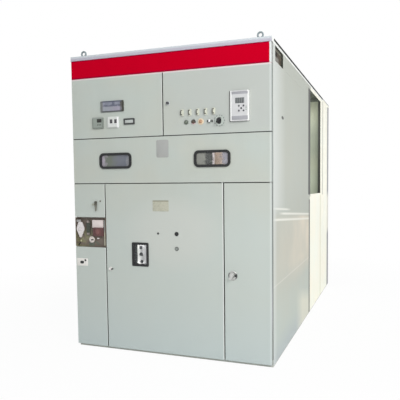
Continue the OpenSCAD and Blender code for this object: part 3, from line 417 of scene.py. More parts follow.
def rearRoofTone(finish):
    # grey line along the top of the sides
    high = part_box("rear_roof")[1]
    rim = finish.z.above(high.z - 0.012, 0.004) * finish.x.size().above(high.x - 0.001, 0.0008)
    return [(rim, (0.32, 0.33, 0.35))]


bulkheadMarks = {"darker": (1.80, 2.22), "paler": 1.62}


def bulkheadTone(finish):
    # evens out the lamp's light from top to bottom
    return [
        (finish.z.within(*bulkheadMarks["darker"], 0.2), shade(paint["bulkhead"], 0.76)),
        (finish.z.below(bulkheadMarks["paler"], 0.2), shade(paint["bulkhead"], 1.12)),
    ]


def indicatorTone(finish):
    # white strip at the left, greyer towards the right
    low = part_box("indicator_panel")[0].x
    return [
        (finish.x.above(low + 0.045, 0.06) * 0.6, (0.80, 0.80, 0.81)),
        (finish.x.below(low + 0.018, 0.008), (0.96, 0.96, 0.92)),
    ]


def housingTone(finish):
    # painted shade: dark surround of the indicator panel, where the window's reveal lies in shadow
    low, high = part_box("indicator_panel")
    spare = 0.03
    revealShade = finish.x.within(low.x - spare, high.x + spare, 0.002)
    revealShade = revealShade * finish.z.within(low.z - spare, high.z + spare, 0.002)
    return [(revealShade, (0.030, 0.032, 0.031))]


def trayTone(finish):
    # soot and bare copper dust round the control rods
    return [
        (finish.noise(40.0).above(0.52, 0.12) * 0.6, (0.34, 0.22, 0.18)),
        (finish.noise(22.0).above(0.54, 0.12) * 0.8, (0.036, 0.032, 0.034)),
    ]


# Panes: glass with an upright smear and fine grit
paneLook = {"roughness": 0.06, "relief": (0.02, 0.0002), "portTint": (0.55, 0.60, 0.62),
            "portAlpha": (0.04, 0.03)}


def pane(name):
    finish = Finish(name, specularLevel=0.5, ior=1.5)
    return finish, finish.noise(9.0, 3.0, (1, 1, 0.4)), finish.noise(160.0)


def portGlass():
    finish, smear, grit = pane("portGlass")
    tint = paneLook["portTint"]
    clear, haze = paneLook["portAlpha"]
    finish.feed(alpha=clear + haze * smear.above(0.55, 0.3))
    base = finish.mix(smear, shade(tint, 0.75), shade(tint, 1.25))
    return finish.close(base, paneLook["roughness"], grit, *paneLook["relief"])


# Observation glass, partly stains and partly painted reflection: stained edges on the left pane, a dark band
# and a clear middle on the right one
windowSet = {"mids": (-0.481, 0.420), "half": 0.138}


def windowGlass():
    finish, smear, grit = pane("windowGlass")
    left, right = windowSet["mids"]
    second = finish.x.above((left + right) / 2, 0.1)
    blot = 0.6 * (finish.noise(34.0, 2.0) - 0.5)
    across = (finish.x - left - second * (right - left)) / windowSet["half"] + blot
    stainAndReflection = finish.layers(
        (0.16, 0.19, 0.145),
        (across.above(-0.1, 0.5), (0.17, 0.185, 0.23)),
        (across.below(-0.72, 0.2), (0.46, 0.41, 0.48)),
        (across.above(0.86, 0.2), (0.30, 0.30, 0.32)))
    pale = finish.layers(
        (0.31, 0.315, 0.275),
        (across.above(-0.45, 0.2), (0.060, 0.065, 0.060)),
        (across.above(0.5, 0.3), (0.37, 0.37, 0.44)))
    finish.feed(alpha=0.75 - 0.60 * second * across.within(-0.05, 0.62, 0.25))
    base = finish.layers(stainAndReflection, (second, pale), (smear * 0.4, (0.22, 0.22, 0.23)))
    return finish.close(base, paneLook["roughness"], grit, *paneLook["relief"])


def meterGlass():
    # dark instruments behind a glossy pane: a dark band above, a lilac sheen below
    low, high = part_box("meter_glass")
    finish = Finish("meterGlass", specularLevel=0.6, coatWeight=0.8, coatRoughness=0.03)
    up = (finish.z - low.z) / (high.z - low.z)
    across = (finish.x - low.x) / (high.x - low.x)
    dials = finish.noise(26.0, 2.0)
    base = finish.layers(
        finish.mix(across.above(0.5, 0.5), (0.24, 0.26, 0.29), (0.27, 0.25, 0.32)),
        (up.above(0.48, 0.06), (0.16, 0.175, 0.23)),
        (up.within(0.50, 0.70, 0.08), (0.075, 0.085, 0.13)),
        (across.within(0.50, 0.62, 0.08) * up.above(0.6, 0.1), (0.06, 0.07, 0.12)),
        (across.above(0.89, 0.06), (0.030, 0.028, 0.022)),
        (dials.above(0.60, 0.1) * 0.25, (0.36, 0.36, 0.46)),
        (across.below(0.07, 0.05), (0.15, 0.16, 0.16)))
    return finish.close(base, 0.18 + 0.1 * dials, dials, strength=0.05, depth=0.0005)


def meterTone(finish):
    # pale left edge, shaded right one
    low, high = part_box("meter_case")
    return [
        (finish.z.above(high.z - 0.012, 0.004), (0.085, 0.095, 0.135)),
        (finish.x.below(low.x + 0.016, 0.006), (0.16, 0.17, 0.165)),
        (finish.x.above(high.x - 0.016, 0.006), (0.032, 0.032, 0.022)),
    ]


def voltTone(finish):
    # darker moulded border round the face, pale upper edge
    low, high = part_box("voltage_indicator")
    mid = (low + high) / 2
    half = (high - low) / 2
    wide = 0.010
    border = (finish.x - mid.x).size().above(half.x - wide, 0.004)
    border = border.larger((finish.z - mid.z).size().above(half.z - wide, 0.004))
    return [
        (border * 0.8, (0.19, 0.215, 0.19)),
        (finish.z.above(high.z - 0.008, 0.004), (0.36, 0.39, 0.36)),
    ]


def climateTone(finish):
    # bright right-hand edge, shaded left and lower ones
    low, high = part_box("climate_controller")
    shaded = finish.x.below(low.x + 0.011, 0.003).larger(finish.z.below(low.z + 0.009, 0.003))
    return [
        (shaded * 0.8, (0.46, 0.48, 0.46)),
        (finish.x.above(high.x - 0.012, 0.003), (0.88, 0.88, 0.88)),
    ]


def lampTone(finish):
    # grey-green, dark red and amber lenses from left to right
    low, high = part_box("signal_lamps")
    step = (high.x - low.x) / 3
    top = finish.z.above((low.z + high.z) / 2 - 0.004, 0.008)
    lens = finish.layers(
        (0.10, 0.14, 0.11),
        (finish.x.above(low.x + step, 0.01), finish.mix(top, (0.07, 0.035, 0.025), (0.022, 0.018, 0.014))),
        (finish.x.above(low.x + 2 * step, 0.01), (0.50, 0.29, 0.17)))
    return [(0.92, lens)]


plugMarks = {"lowerX": 0.094, "radius": 0.018, "between": 0.98}


def plugTone(finish):
    # the lower plug is painted over with the door
    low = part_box("door_plugs")[0].z
    lowerMid = Vector((plugMarks["lowerX"], 0, low + plugMarks["radius"]))
    ring = finish.reach(lowerMid).above(0.012, 0.003)
    lower = finish.mix(ring, shade(paint["panel"], 0.50), shade(paint["panel"], 0.26))
    return [(finish.z.below(plugMarks["between"], 0.01), lower)]


def strapTone(finish):
    streak = finish.noise(90.0, 2.0, (1, 1, 0.2))
    return [(streak * 0.5, (0.74, 0.75, 0.68))]


def relayTone(finish):
    # bright upright bezels
    low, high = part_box("protection_relay")
    return [
        (finish.x.above(high.x - 0.014, 0.003), (0.90, 0.90, 0.88)),
        (finish.x.below(low.x + 0.009, 0.003), (0.86, 0.86, 0.85)),
    ]


def switchTone(finish):
    # plate painted like the door under the black knob
    return [(finish.behind.above(-0.0066, 0.0008), shade(paint["panel"], 0.96))]


def knobTone(finish):
    # black oval grip on a turned boss in the plate's colour
    mid = middle("control_switch")
    gripHalf = (0.0215, 0.028)
    boss = oval(finish.x, finish.z, (mid.x, mid.z), gripHalf).above(1.0, 0.1)
    return [(boss, shade(paint["panel"], 0.85))] + switchTone(finish)


def barrierTone(finish):
    # pale cut edge at the front of the board
    grain = finish.noise(14.0, 3.0, (1, 0.3, 1))
    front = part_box("phase_barriers")[0].y
    return [
        (grain.above(0.5, 0.3) * 0.8, (0.24, 0.165, 0.13)),
        (finish.y.below(front + 0.045, 0.03), (0.70, 0.63, 0.67)),
    ]


def handleTone(finish):
    # dark outer rim and middle on the round plate, bright grip
    mid = middle("right_handle")
    reach = finish.reach(mid)
    plate = finish.behind.above(-0.010, 0.001)
    fade = 1 - 0.8 * (finish.z - mid.z).size().above(0.022, 0.012)
    return [
        (reach.above(0.031, 0.002) * plate * fade, (0.10, 0.10, 0.10)),
        (reach.below(0.012, 0.002) * plate, (0.05, 0.05, 0.05)),
    ]


def lockTone(finish):
    # dark barrel in a pale ring
    return [(finish.reach(middle("upper_lock")).above(0.0115, 0.001), (0.52, 0.55, 0.54))]


def linkTone(finish):
    # pinkish plated nuts at the ends of the dull link
    low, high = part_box("mechanism_link")
    ends = (finish.z - (low.z + high.z) / 2).size().above((high.z - low.z) / 2 - 0.024, 0.003)
    nuts = ends * finish.y.below(low.y + 0.006, 0.001)
    return [(nuts * 0.7, (0.40, 0.33, 0.31))]


def hubTone(finish):
    # dark spindle end in the white disc
    spindle = middle("mechanism_hub") + Vector((0.012, 0, 0))
    return [(finish.reach(spindle).below(0.007, 0.002), (0.07, 0.065, 0.06))]


def castingTone(finish):
    # redder middle
    return [(finish.reach(middle("mechanism_casting")).below(0.028, 0.012), (0.21, 0.095, 0.090))]


def nicheTone(finish):
    # oily olive patches in the lower left
    right, top = -0.76, 1.06
    corner = finish.x.below(right, 0.08) * finish.z.below(top, 0.08)
    return [(finish.noise(28.0).above(0.47, 0.1) * corner * 0.9, (0.26, 0.25, 0.15))]


def latchTone(finish):
    # pale arm beside the dark lever, which is worn towards its end
    mid = middle("panel_latch")
    return [
        (finish.z.below(mid.z + 0.01, 0.03) * 0.8, (0.22, 0.22, 0.185)),
        (finish.x.below(mid.x, 0.004), (0.36, 0.37, 0.30)),
    ]


redLook = {**enamelLook, "roughness": 0.36, "shine": 0.01, "warm": 0.0}
oxideLook = {**enamelLook, "roughness": 0.55, "drift": 0.4}
roofLook = {**enamelLook, "roughness": 0.62, "shine": 0.12, "scuff": 0.2}
knobLook = {**enamelLook, "roughness": 0.25, "scuff": 0.03}
switchBlack = (0.020, 0.021, 0.022)
finishes = {
    "grey_paint": enamel("panelEnamel", paint["panel"], tone=panelTone),
    "frame_paint": enamel("frameEnamel", paint["frame"]),
    "red_paint": enamel("headerEnamel", paint["header"], redLook, headerTone),
    "zinc": bareMetal("zincPlate", (0.60, 0.61, 0.61), 0.34),
    "rubber": moulded("windowRubber", (0.014, 0.015, 0.016), 0.55),
    "glass": windowGlass(),
    "bronze_paint": enamel("nicheEnamel", paint["bronze"]),
    "white_enamel": enamel("plateEnamel", (0.73, 0.70, 0.70)),
    "oxide_paint": enamel("oxideEnamel", (0.13, 0.045, 0.040), oxideLook),
    "chrome": enamel("knobEnamel", (0.80, 0.80, 0.79), knobLook),
    "black_plastic": moulded("blackPlastic", switchBlack, 0.4),
    "grey_plastic": moulded("greyPlastic", (0.285, 0.32, 0.285), 0.5, voltTone),
    "white_plastic": moulded("whitePlastic", (0.82, 0.82, 0.82), 0.42),
    "relay_plastic": moulded("relayPlastic", (0.60, 0.60, 0.605), 0.4, relayTone),
    "strap_plastic": moulded("strapPlastic", (0.61, 0.62, 0.51), 0.35, strapTone),
    "lamp_plastic": moulded("lampLens", (0.30, 0.15, 0.05), 0.18, lampTone, 0.6),
    "copper": bareMetal("copperRod", (0.58, 0.30, 0.16), 0.30, (0.05, 1, 1)),
    "board": moulded("barrierBoard", (0.50, 0.39, 0.32), 0.55, barrierTone),
}
ownFinish = {
    "roof_cover": enamel("roofEnamel", paint["panel"], roofLook, roofTone),
    "rear_roof": enamel("rearRoofEnamel", paint["endWall"], roofLook, rearRoofTone),
    "right_front_wall": enamel("frontWallEnamel", paint["sideWall"], tone=frontWallTone),
    "left_front_wall": enamel("leftWallEnamel", shade(paint["sideWall"], 0.9), tone=wallEdgeTone),
    **dict.fromkeys(("right_bus_wall", "left_bus_wall", "rear_side_walls"),
                    enamel("endWallEnamel", paint["endWall"], tone=endWallTone)),
    "base_frame": enamel("baseEnamel", (0.55, 0.58, 0.54)),
    "rear_bulkhead": enamel("bulkheadEnamel", paint["bulkhead"], tone=bulkheadTone),
    "indicator_panel": moulded("indicatorPlate", (0.85, 0.85, 0.84), 0.65, indicatorTone),
    "breaker_housing": enamel("housingEnamel", paint["panel"], tone=housingTone),
    "control_bus_tray": enamel("trayEnamel", paint["bronze"], tone=trayTone),
    "meter_case": moulded("meterCase", (0.085, 0.090, 0.095), 0.45, meterTone),
    "meter_glass": meterGlass(),
    "climate_controller": moulded("climateCase", (0.68, 0.70, 0.67), 0.42, climateTone),
    "counter": moulded("counterCase", (0.050, 0.053, 0.053), 0.45),
    "door_plugs": moulded("plugRubber", (0.016, 0.017, 0.018), 0.5, plugTone),
    "port_pane": portGlass(),
    "control_switch": moulded("switchPlastic", switchBlack, 0.4, knobTone),
    "selector_switch": moulded("selectorPlastic", switchBlack, 0.4, switchTone),
    "right_handle": bareMetal("handleZinc", (0.72, 0.72, 0.70), 0.32, tone=handleTone),
    "upper_lock": moulded("lockBarrel", (0.070, 0.070, 0.080), 0.3, lockTone),
    "mechanism_link": enamel("linkEnamel", (0.060, 0.070, 0.055), tone=linkTone),
    "mechanism_hub": enamel("hubEnamel", (0.72, 0.68, 0.65), tone=hubTone),
    "mechanism_casting": enamel("castingEnamel", (0.14, 0.070, 0.070), oxideLook, castingTone),
    "niche_tray": enamel("nicheTrayEnamel", (0.185, 0.155, 0.130), tone=nicheTone),
    "lifting_eyes": moulded("eyeSteel", (0.26, 0.31, 0.33), 0.4),
    "panel_latch": enamel("latchEnamel", (0.075, 0.073, 0.055), tone=latchTone),
}
for part in frame["record"]["subparts"]:
    finishMade = ownFinish.get(part["node"], finishes[part["material_slot"]])
    for holder in frame["nodes"][part["node"]].material_slots:
        holder.material = finishMade
print("CAD finishes:", len(finishes) + len(ownFinish))


# Mesh helpers; each shape is made in a mesh of its own and then joined to the piece
def joinShape(bm, shape, place, turn=None):
    if turn:
        bmesh.ops.rotate(shape, cent=(0, 0, 0), matrix=turn, verts=shape.verts)
    bmesh.ops.translate(shape, vec=place, verts=shape.verts)
    holder = bpy.data.meshes.new("shape")
    shape.to_mesh(holder)
    shape.free()
    bm.from_mesh(holder)
    bpy.data.meshes.remove(holder)


def newBox(size):
    shape = bmesh.new()
    bmesh.ops.create_cube(shape, size=1.0)
    bmesh.ops.scale(shape, vec=size, verts=shape.verts)
    return shape


def roundOff(shape, edges, offset, segments):
    bmesh.ops.bevel(shape, geom=edges, offset=offset, segments=segments, profile=0.5, affect="EDGES",
                    material=-1)


def addBlock(bm, mid, half, edge, turn=None):
    # box with all its edges rounded, turned about its own middle
    shape = newBox(2 * half)
    roundOff(shape, list(shape.edges), edge, 2)
    joinShape(bm, shape, mid, turn)


def addStrip(bm, low, high, edge):
    # block from its lower left front corner to the opposite one
    low = Vector(low)
    high = Vector(high)
    addBlock(bm, (low + high) / 2, (high - low) / 2, edge)


def addPlate(bm, mid, size, back, thick, corner, rim):
    # plate on the front, from its back forwards, with round corners and a softened face
    half = thick / 2
    shape = newBox((size[0], thick, size[1]))
    upright = [e for e in shape.edges if abs(e.verts[0].co.y - e.verts[1].co.y) > half]
    roundOff(shape, upright, corner, 6)
    ahead = [e for e in shape.edges if all(v.co.y < -half + 1e-6 for v in e.verts)]
    roundOff(shape, ahead, rim, 2)
    joinShape(bm, shape, (mid[0], back - half, mid[1]))


def addRow(bm, mid, count, pitch, size, back, thick, corner, rim):
    # equal plates side by side about a middle
    for offset in spread(count, pitch):
        addPlate(bm, (mid[0] + offset, mid[1]), metres(size), back, thick, corner, rim)


axisTurn = {
    "-Y": Matrix.Rotation(math.pi / 2, 3, "X"),
    "Y": Matrix.Rotation(-math.pi / 2, 3, "X"),
    "Z": Matrix.Identity(3),
}


def addTurned(bm, centre, outline, segments):
    # outline of (radius, reach) points spun about an axis that points forwards
    shape = bmesh.new()
    verts = [shape.verts.new((radius, 0, reach)) for radius, reach in outline]
    edges = [shape.edges.new(pair) for pair in zip(verts, verts[1:])]
    bmesh.ops.spin(shape, geom=verts + edges, cent=(0, 0, 0), axis=(0, 0, 1), angle=2 * math.pi,
                   steps=segments, use_merge=True)
    bmesh.ops.remove_doubles(shape, verts=shape.verts, dist=1e-6)
    joinShape(bm, shape, centre, axisTurn["-Y"])


def button(radius, shoulder, top, share):
    # outline of a round button with a chamfered end
    return [(radius, 0), (radius, shoulder), (radius * share, top), (0, top)]


def addHexBolt(bm, centre, axis, across, height):
    # washer and hexagon head
    shape = bmesh.new()
    washer = height * 0.25
    bmesh.ops.create_cone(shape, cap_ends=True, segments=20, radius1=across * 0.95, radius2=across * 0.9,
                          depth=washer, matrix=Matrix.Translation((0, 0, washer / 2)))
    bmesh.ops.create_cone(shape, cap_ends=True, segments=6, radius1=across * 0.58, radius2=across * 0.54,
                          depth=height, matrix=Matrix.Translation((0, 0, washer + height / 2)))
    joinShape(bm, shape, centre, axisTurn[axis])


smoothAngle = math.radians(35)


def finishPiece(name, bm, slot, material=None, body="cabinet"):
    bmesh.ops.recalc_face_normals(bm, faces=bm.faces)
    mesh = bpy.data.meshes.new(name)
    bm.to_mesh(mesh)
    bm.free()
    mesh.polygons.foreach_set("use_smooth", [True] * len(mesh.polygons))
    mesh.set_sharp_from_angle(angle=smoothAngle)
    mesh.materials.append(material or finishes[slot])
    piece = bpy.data.objects.new(name, mesh)
    scene.collection.objects.link(piece)
    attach(piece, body)


# Bare plates on the panels; place holds x, z, width and height
plateSet = {
    "observationPlate": {"place": (-26, 1770, 113, 146), "corner": 12, "body": "cabinet",
                         "colour": (0.385, 0.395, 0.385), "rivets": True, "hem": False},
    "doorPlate": {"place": (-52, 1291, 150, 93), "corner": 4, "body": "centre_door",
                  "colour": (0.50, 0.505, 0.415), "rivets": False, "hem": True},
    "columnPlate": {"place": (-847, 778, 116, 68), "corner": 4, "body": "cabinet",
                    "colour": (0.80, 0.80, 0.77), "rivets": False, "hem": False},
}
plateThick = 0.0015
rivetInset = 0.010
plateLook = {**enamelLook, "roughness": 0.38, "drift": 0.3}


def barePlate(name, plate):
    bm = bmesh.new()
    mid, (width, height) = placed(plate["place"])
    addPlate(bm, mid, (width, height), doorFace, plateThick, plate["corner"] * mm, rim=0.0005)
    if plate["rivets"]:
        for sx, sz in ((-1, -1), (-1, 1), (1, -1), (1, 1)):
            x = mid[0] + sx * (width / 2 - rivetInset)
            z = mid[1] + sz * (height / 2 - rivetInset)
            rivet = [(0.0032, 0), (0.0030, 0.0012), (0.0018, 0.002), (0, 0.0022)]
            addTurned(bm, (x, doorFace - plateThick, z), rivet, segments=12)

    def hemTone(finish):
        # speckled dust, and darker along the upper edge
        grime = finish.noise(70.0, 4.0).above(0.55, 0.1)
        hem = finish.z.above(mid[1] + height / 2 - 0.012, 0.004)
        return [(grime * 0.3, (0.30, 0.30, 0.23)), (hem * 0.6, (0.20, 0.20, 0.15))]

    tone = hemTone if plate["hem"] else None
    finishPiece(name, bm, "grey_plastic", enamel(name, plate["colour"], plateLook, tone), plate["body"])


for plateName, plateValues in plateSet.items():
    barePlate(plateName, plateValues)

# Foam seals in the level seams of the fixed panels
sealSet = {"seams": (("observation_panel", "relay_door"), ("left_top_panel", "observation_panel")),
           "depth": (3, 20)}
bm = bmesh.new()
near, far = [doorFace + v for v in metres(sealSet["depth"])]
for lower, upper in sealSet["seams"]:
    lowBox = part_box(lower)
    left = min(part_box("left_top_panel")[0].x, lowBox[0].x)
    addStrip(bm, (left, near, lowBox[1].z), (lowBox[1].x, far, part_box(upper)[0].z), edge=0.0008)
finishPiece("seamSeals", bm, "rubber", moulded("sealFoam", (0.030, 0.031, 0.029), 0.8))

# Pale trim under the header
trimSet = {"depth": (2, 12), "half": 913}
bm = bmesh.new()
near, far = [doorFace + v for v in metres(trimSet["depth"])]
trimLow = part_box("relay_door")[1].z
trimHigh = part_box("header_panel")[0].z
trimHalf = trimSet["half"] * mm
addStrip(bm, (-trimHalf, near, trimLow), (trimHalf, far, trimHigh), edge=0.0006)
finishPiece("headerTrim", bm, "grey_paint", enamel("headerTrim", (0.82, 0.66, 0.68)))

# Two dark caps on the lower left plate
capSet = {"caps": ((-850, 776, 38, 25), (-815, 795, 18, 18)), "proud": 3}
bm = bmesh.new()
for cap in capSet["caps"]:
    mid, size = placed(cap)
    addPlate(bm, mid, size, doorFace - plateThick, capSet["proud"] * mm, corner=size[1] * 0.48, rim=0.001)
finishPiece("plateCaps", bm, "black_plastic")
print("bare plates:", len(plateSet))


# Instruments on the meter door
def displayGlass(name, colour, pattern=None):
    finish = Finish(name, specularLevel=0.6, coatWeight=0.8, coatRoughness=0.05)
    haze = finish.noise(40.0, 2.0)
    base = finish.mix(haze, shade(colour, 0.8), shade(colour, 1.2))
    return finish.close(base, 0.2 + 0.1 * haze, haze, strength=0.03, depth=0.0003, tone=pattern)


voltSet = {"lenses": 3, "lens": 7.0, "pitch": 15, "lensMid": (18, 18), "back": (46, 30), "socket": 4,
           "socketDown": 18}
voltMid = middle("voltage_indicator")
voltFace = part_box("voltage_indicator")[0].y
lensMid = beside(voltMid, *voltSet["lensMid"])
socketZ = voltMid.z - voltSet["socketDown"] * mm
backThick = 0.001
bm = bmesh.new()
addPlate(bm, lensMid, metres(voltSet["back"]), voltFace, backThick, corner=0.004, rim=0.0004)
for offset in spread(voltSet["lenses"], voltSet["pitch"]):
    x = lensMid[0] + offset
    r = voltSet["lens"] * mm
    dome = [(r, 0), (r, 0.002), (r * 0.8, 0.004), (r * 0.4, 0.0052), (0, 0.0055)]
    addTurned(bm, (x, voltFace - backThick, lensMid[1]), dome, segments=20)
    r = voltSet["socket"] * mm
    socket = [(r, 0), (r, 0.0018), (r * 0.6, 0.0018), (r * 0.5, 0.0004), (0, 0.0004)]
    addTurned(bm, (x, voltFace, socketZ), socket, segments=16)
finishPiece("voltageLenses", bm, "black_plastic", moulded("voltageLens", (0.030, 0.031, 0.027), 0.25))

caseSink = 0.003  # faces of the climate controller and the counter behind their rims
# Rows: count, pitch and size of each plate
climateSet = {"displays": (2, 45, (26, 34)), "displayMid": (6, 8), "keys": (4, 19, (9, 6.3)),
              "keyMid": (0, -23)}
climateMid = middle("climate_controller")
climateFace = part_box("climate_controller")[0].y + caseSink
bm = bmesh.new()
mid = beside(climateMid, *climateSet["displayMid"])
addRow(bm, mid, *climateSet["displays"], climateFace, thick=0.0012, corner=0.002, rim=0.0004)
finishPiece("climateDisplays", bm, "black_plastic", displayGlass("climateGlass", (0.03, 0.03, 0.035)))
bm = bmesh.new()
mid = beside(climateMid, *climateSet["keyMid"])
addRow(bm, mid, *climateSet["keys"], climateFace, thick=0.002, corner=0.002, rim=0.0006)
finishPiece("climateKeys", bm, "grey_plastic", moulded("climateKey", (0.62, 0.63, 0.63), 0.5))

counterSet = {"drums": (6, 11.5, (9.5, 19)), "plate": (78, 26)}
counterMid = middle("counter")
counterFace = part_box("counter")[0].y + caseSink
bm = bmesh.new()
mid = (counterMid.x, counterMid.z)
addPlate(bm, mid, metres(counterSet["plate"]), counterFace, thick=0.0008, corner=0.002, rim=0.0003)
addRow(bm, mid, *counterSet["drums"], counterFace, thick=0.0022, corner=0.001, rim=0.0009)
finishPiece("counterDrums", bm, "white_plastic", moulded("counterDrum", (0.50, 0.53, 0.51), 0.35))
print("meter door instruments done")


# Relay front: dark backing plate that stands out on the left as a painted shadow, display, key caps, bands
# and lamps
relaySet = {"sink": 4, "lcdMid": (0, 41), "lcd": (75, 43), "keyPitch": 19, "keyMid": (14, -20),
            "keyCap": (13, 13), "topBand": (18, 10), "lowBand": (30, 10), "bandInset": 20,
            "lamps": 3, "lampRight": 53, "lampPitch": 13, "shadowSpare": (12, 4)}
relayLow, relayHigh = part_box("protection_relay")
relayMid = (relayLow + relayHigh) / 2
relaySize = relayHigh - relayLow
relayFace = relayLow.y + relaySet["sink"] * mm
lcdMid = beside(relayMid, *relaySet["lcdMid"])
keyMid = beside(relayMid, *relaySet["keyMid"])
lcdWave = 420.0  # radians per metre across the display


def lcdColumns(finish):
    # pale upright segments of a switched-off display
    wave = finish.x.maths("SINE", finish.x * lcdWave)
    return [(wave.above(0.45, 0.5) * 0.5, (0.30, 0.33, 0.32))]


# dark plate behind the relay, wider on the left: painted shadow of the relay on the door
bm = bmesh.new()
spareX, spareZ = metres(relaySet["shadowSpare"])
shadowPlateSize = (relaySize.x + spareX, relaySize.z + spareZ)
shadowPlateMid = (relayMid.x - spareX / 2, relayMid.z)
addPlate(bm, shadowPlateMid, shadowPlateSize, doorFace, thick=0.004, corner=0.004, rim=0.001)
finishPiece("relayShadowPlate", bm, "rubber", moulded("relayShadowPlate", (0.05, 0.053, 0.053), 0.6))

bm = bmesh.new()
addPlate(bm, lcdMid, metres(relaySet["lcd"]), relayFace + 0.002, thick=0.0016, corner=0.002, rim=0.0004)
finishPiece("relayDisplay", bm, "glass", displayGlass("relayGlass", (0.075, 0.08, 0.085), lcdColumns))

bm = bmesh.new()
for kx, kz in ((-1, -1), (-1, 1), (0, 0), (1, -1), (1, 1)):
    mid = (keyMid[0] + kx * relaySet["keyPitch"] * mm, keyMid[1] + kz * relaySet["keyPitch"] * mm)
    addPlate(bm, mid, metres(relaySet["keyCap"]), relayFace - 0.003, thick=0.0016, corner=0.0028, rim=0.0008)
finishPiece("relayKeys", bm, "black_plastic", moulded("relayKey", (0.075, 0.075, 0.085), 0.5))

bm = bmesh.new()
bandWide = relaySize.x - relaySet["bandInset"] * mm
for band, edgeZ, end in (("topBand", relayHigh.z, 1), ("lowBand", relayLow.z, -1)):
    tall, inset = metres(relaySet[band])
    mid = (relayMid.x, edgeZ - end * (inset + tall / 2))
    addPlate(bm, mid, (bandWide, tall), relayFace, thick=0.0008, corner=0.002, rim=0.0003)
finishPiece("relayBands", bm, "grey_plastic", moulded("relayBand", (0.35, 0.35, 0.375), 0.5))

bm = bmesh.new()
for offset in spread(relaySet["lamps"], relaySet["lampPitch"]):
    spot = (relayMid.x + relaySet["lampRight"] * mm, relayFace, keyMid[1] + offset)
    addTurned(bm, spot, [(0.003, 0), (0.003, 0.001), (0.0022, 0.0022), (0, 0.0027)], segments=14)
finishPiece("relayLamps", bm, "lamp_plastic", moulded("relayLamp", (0.05, 0.16, 0.06), 0.2))
print("relay front done")


# Link straps: dark lever beside each bar and its end studs
strapSet = {"count": 5, "half": 11, "lever": (6.5, 16, 40), "side": -9.5, "stud": 4.2, "reach": 16.5}
strapLow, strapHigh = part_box("link_straps")
strapZ = (strapLow.z + strapHigh.z) / 2
half = Vector(strapSet["lever"]) * mm / 2
bm = bmesh.new()
for x in between(strapLow.x, strapHigh.x, strapSet["half"] * mm, strapSet["count"]):
    addBlock(bm, (x + strapSet["side"] * mm, doorFace - half.y, strapZ), half, edge=0.0018)
    for end in (-1, 1):
        spot = (x, strapLow.y, strapZ + end * strapSet["reach"] * mm)
        addTurned(bm, spot, button(strapSet["stud"] * mm, 0.002, 0.003, 0.5), segments=14)
finishPiece("strapLevers", bm, "black_plastic", moulded("strapLever", (0.06, 0.063, 0.05), 0.45))

# Rings round the lamps, pale round the amber one
lampSet = {"outer": (19.5, 20, 26), "inner": 15.4, "out": 7, "half": 15, "lip": 1.5}
lampLow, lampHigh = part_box("signal_lamps")
lampRow = between(lampLow.x, lampHigh.x, lampSet["half"] * mm, len(lampSet["outer"]))
lampZ = (lampLow.z + lampHigh.z) / 2


def bezelTone(finish):
    return [
        (finish.z.below(lampZ - 0.009, 0.006), (0.62, 0.45, 0.45)),
        (finish.x.below(lampLow.x + 0.04, 0.01), (0.17, 0.19, 0.17)),
        (finish.x.above(lampHigh.x - 0.05, 0.01), (0.72, 0.60, 0.44)),
    ]


bm = bmesh.new()
inner, out, lip = [lampSet[key] * mm for key in ("inner", "out", "lip")]
for x, outer in zip(lampRow, metres(lampSet["outer"])):
    ring = [(inner, 0), (inner, out), (inner + lip, out), (outer, out * 0.5), (outer, 0), (inner, 0)]
    addTurned(bm, (x, doorFace, lampZ), ring, segments=28)
bezelPlastic = moulded("lampBezel", (0.045, 0.045, 0.04), 0.35, bezelTone)
finishPiece("lampBezels", bm, "lamp_plastic", bezelPlastic)

# Selector's white pointer cap and dark ends
pointerSet = {"size": (16, 20), "mid": (5, 0), "ends": (-14, 22), "end": (11, 9, 18)}
selectorMid = middle("selector_switch")
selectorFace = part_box("selector_switch")[0].y
bm = bmesh.new()
mid = beside(selectorMid, *pointerSet["mid"])
addPlate(bm, mid, metres(pointerSet["size"]), selectorFace, thick=0.0012, corner=0.003, rim=0.0005)
finishPiece("selectorPointer", bm, "white_plastic")
bm = bmesh.new()
half = Vector(pointerSet["end"]) * mm / 2
for endX in metres(pointerSet["ends"]):
    addBlock(bm, (selectorMid.x + endX, doorFace - half.y, selectorMid.z), half, edge=0.0025)
finishPiece("selectorEnds", bm, "black_plastic")

# Ring of marks round the control switch
dialSet = {"ring": 42.5, "marks": 12, "mark": (12, 1.2, 5), "plate": 6, "half": 40}
controlMid = middle("control_switch")
bm = bmesh.new()
half = Vector(dialSet["mark"]) * mm / 2
for i in range(dialSet["marks"]):
    turn = 2 * math.pi * i / dialSet["marks"]
    across = dialSet["ring"] * mm * math.sin(turn)
    up = dialSet["ring"] * mm * math.cos(turn)
    onPlate = max(abs(across), abs(up)) < dialSet["half"] * mm  # the others sit on the door
    face = doorFace - (dialSet["plate"] * mm if onPlate else 0)
    spot = (controlMid.x + across, face - half.y, controlMid.z + up)
    addBlock(bm, spot, half, edge=0.0005, turn=Matrix.Rotation(turn, 3, "Y"))
finishPiece("dialMarks", bm, "black_plastic", moulded("dialMark", (0.16, 0.17, 0.17), 0.5))
print("switch row done")


# Key slots in the two round locks, set off to the right in the door's lock
lockSet = {
    "centre_lock": {"body": "centre_door", "hole": 6, "right": 21},
    "upper_lock": {"body": "cabinet", "hole": 4.5, "right": 0},
}
slotHalf = Vector((0.001, 0.0009, 0.0035))
for lockNode, lock in lockSet.items():
    bm = bmesh.new()
    lockMid = middle(lockNode)
    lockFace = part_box(lockNode)[0].y
    x = lockMid.x + lock["right"] * mm
    deep = doorFace - lockFace
    keyEnd = button(lock["hole"] * mm, deep + 0.0008, deep + 0.0012, 0.7)
    addTurned(bm, (x, doorFace, lockMid.z), keyEnd, segments=20)
    addBlock(bm, (x, lockFace - slotHalf.y, lockMid.z), slotHalf, edge=0.0004)
    finishPiece(lockNode.split("_")[0] + "LockKey", bm, "black_plastic", body=lock["body"])

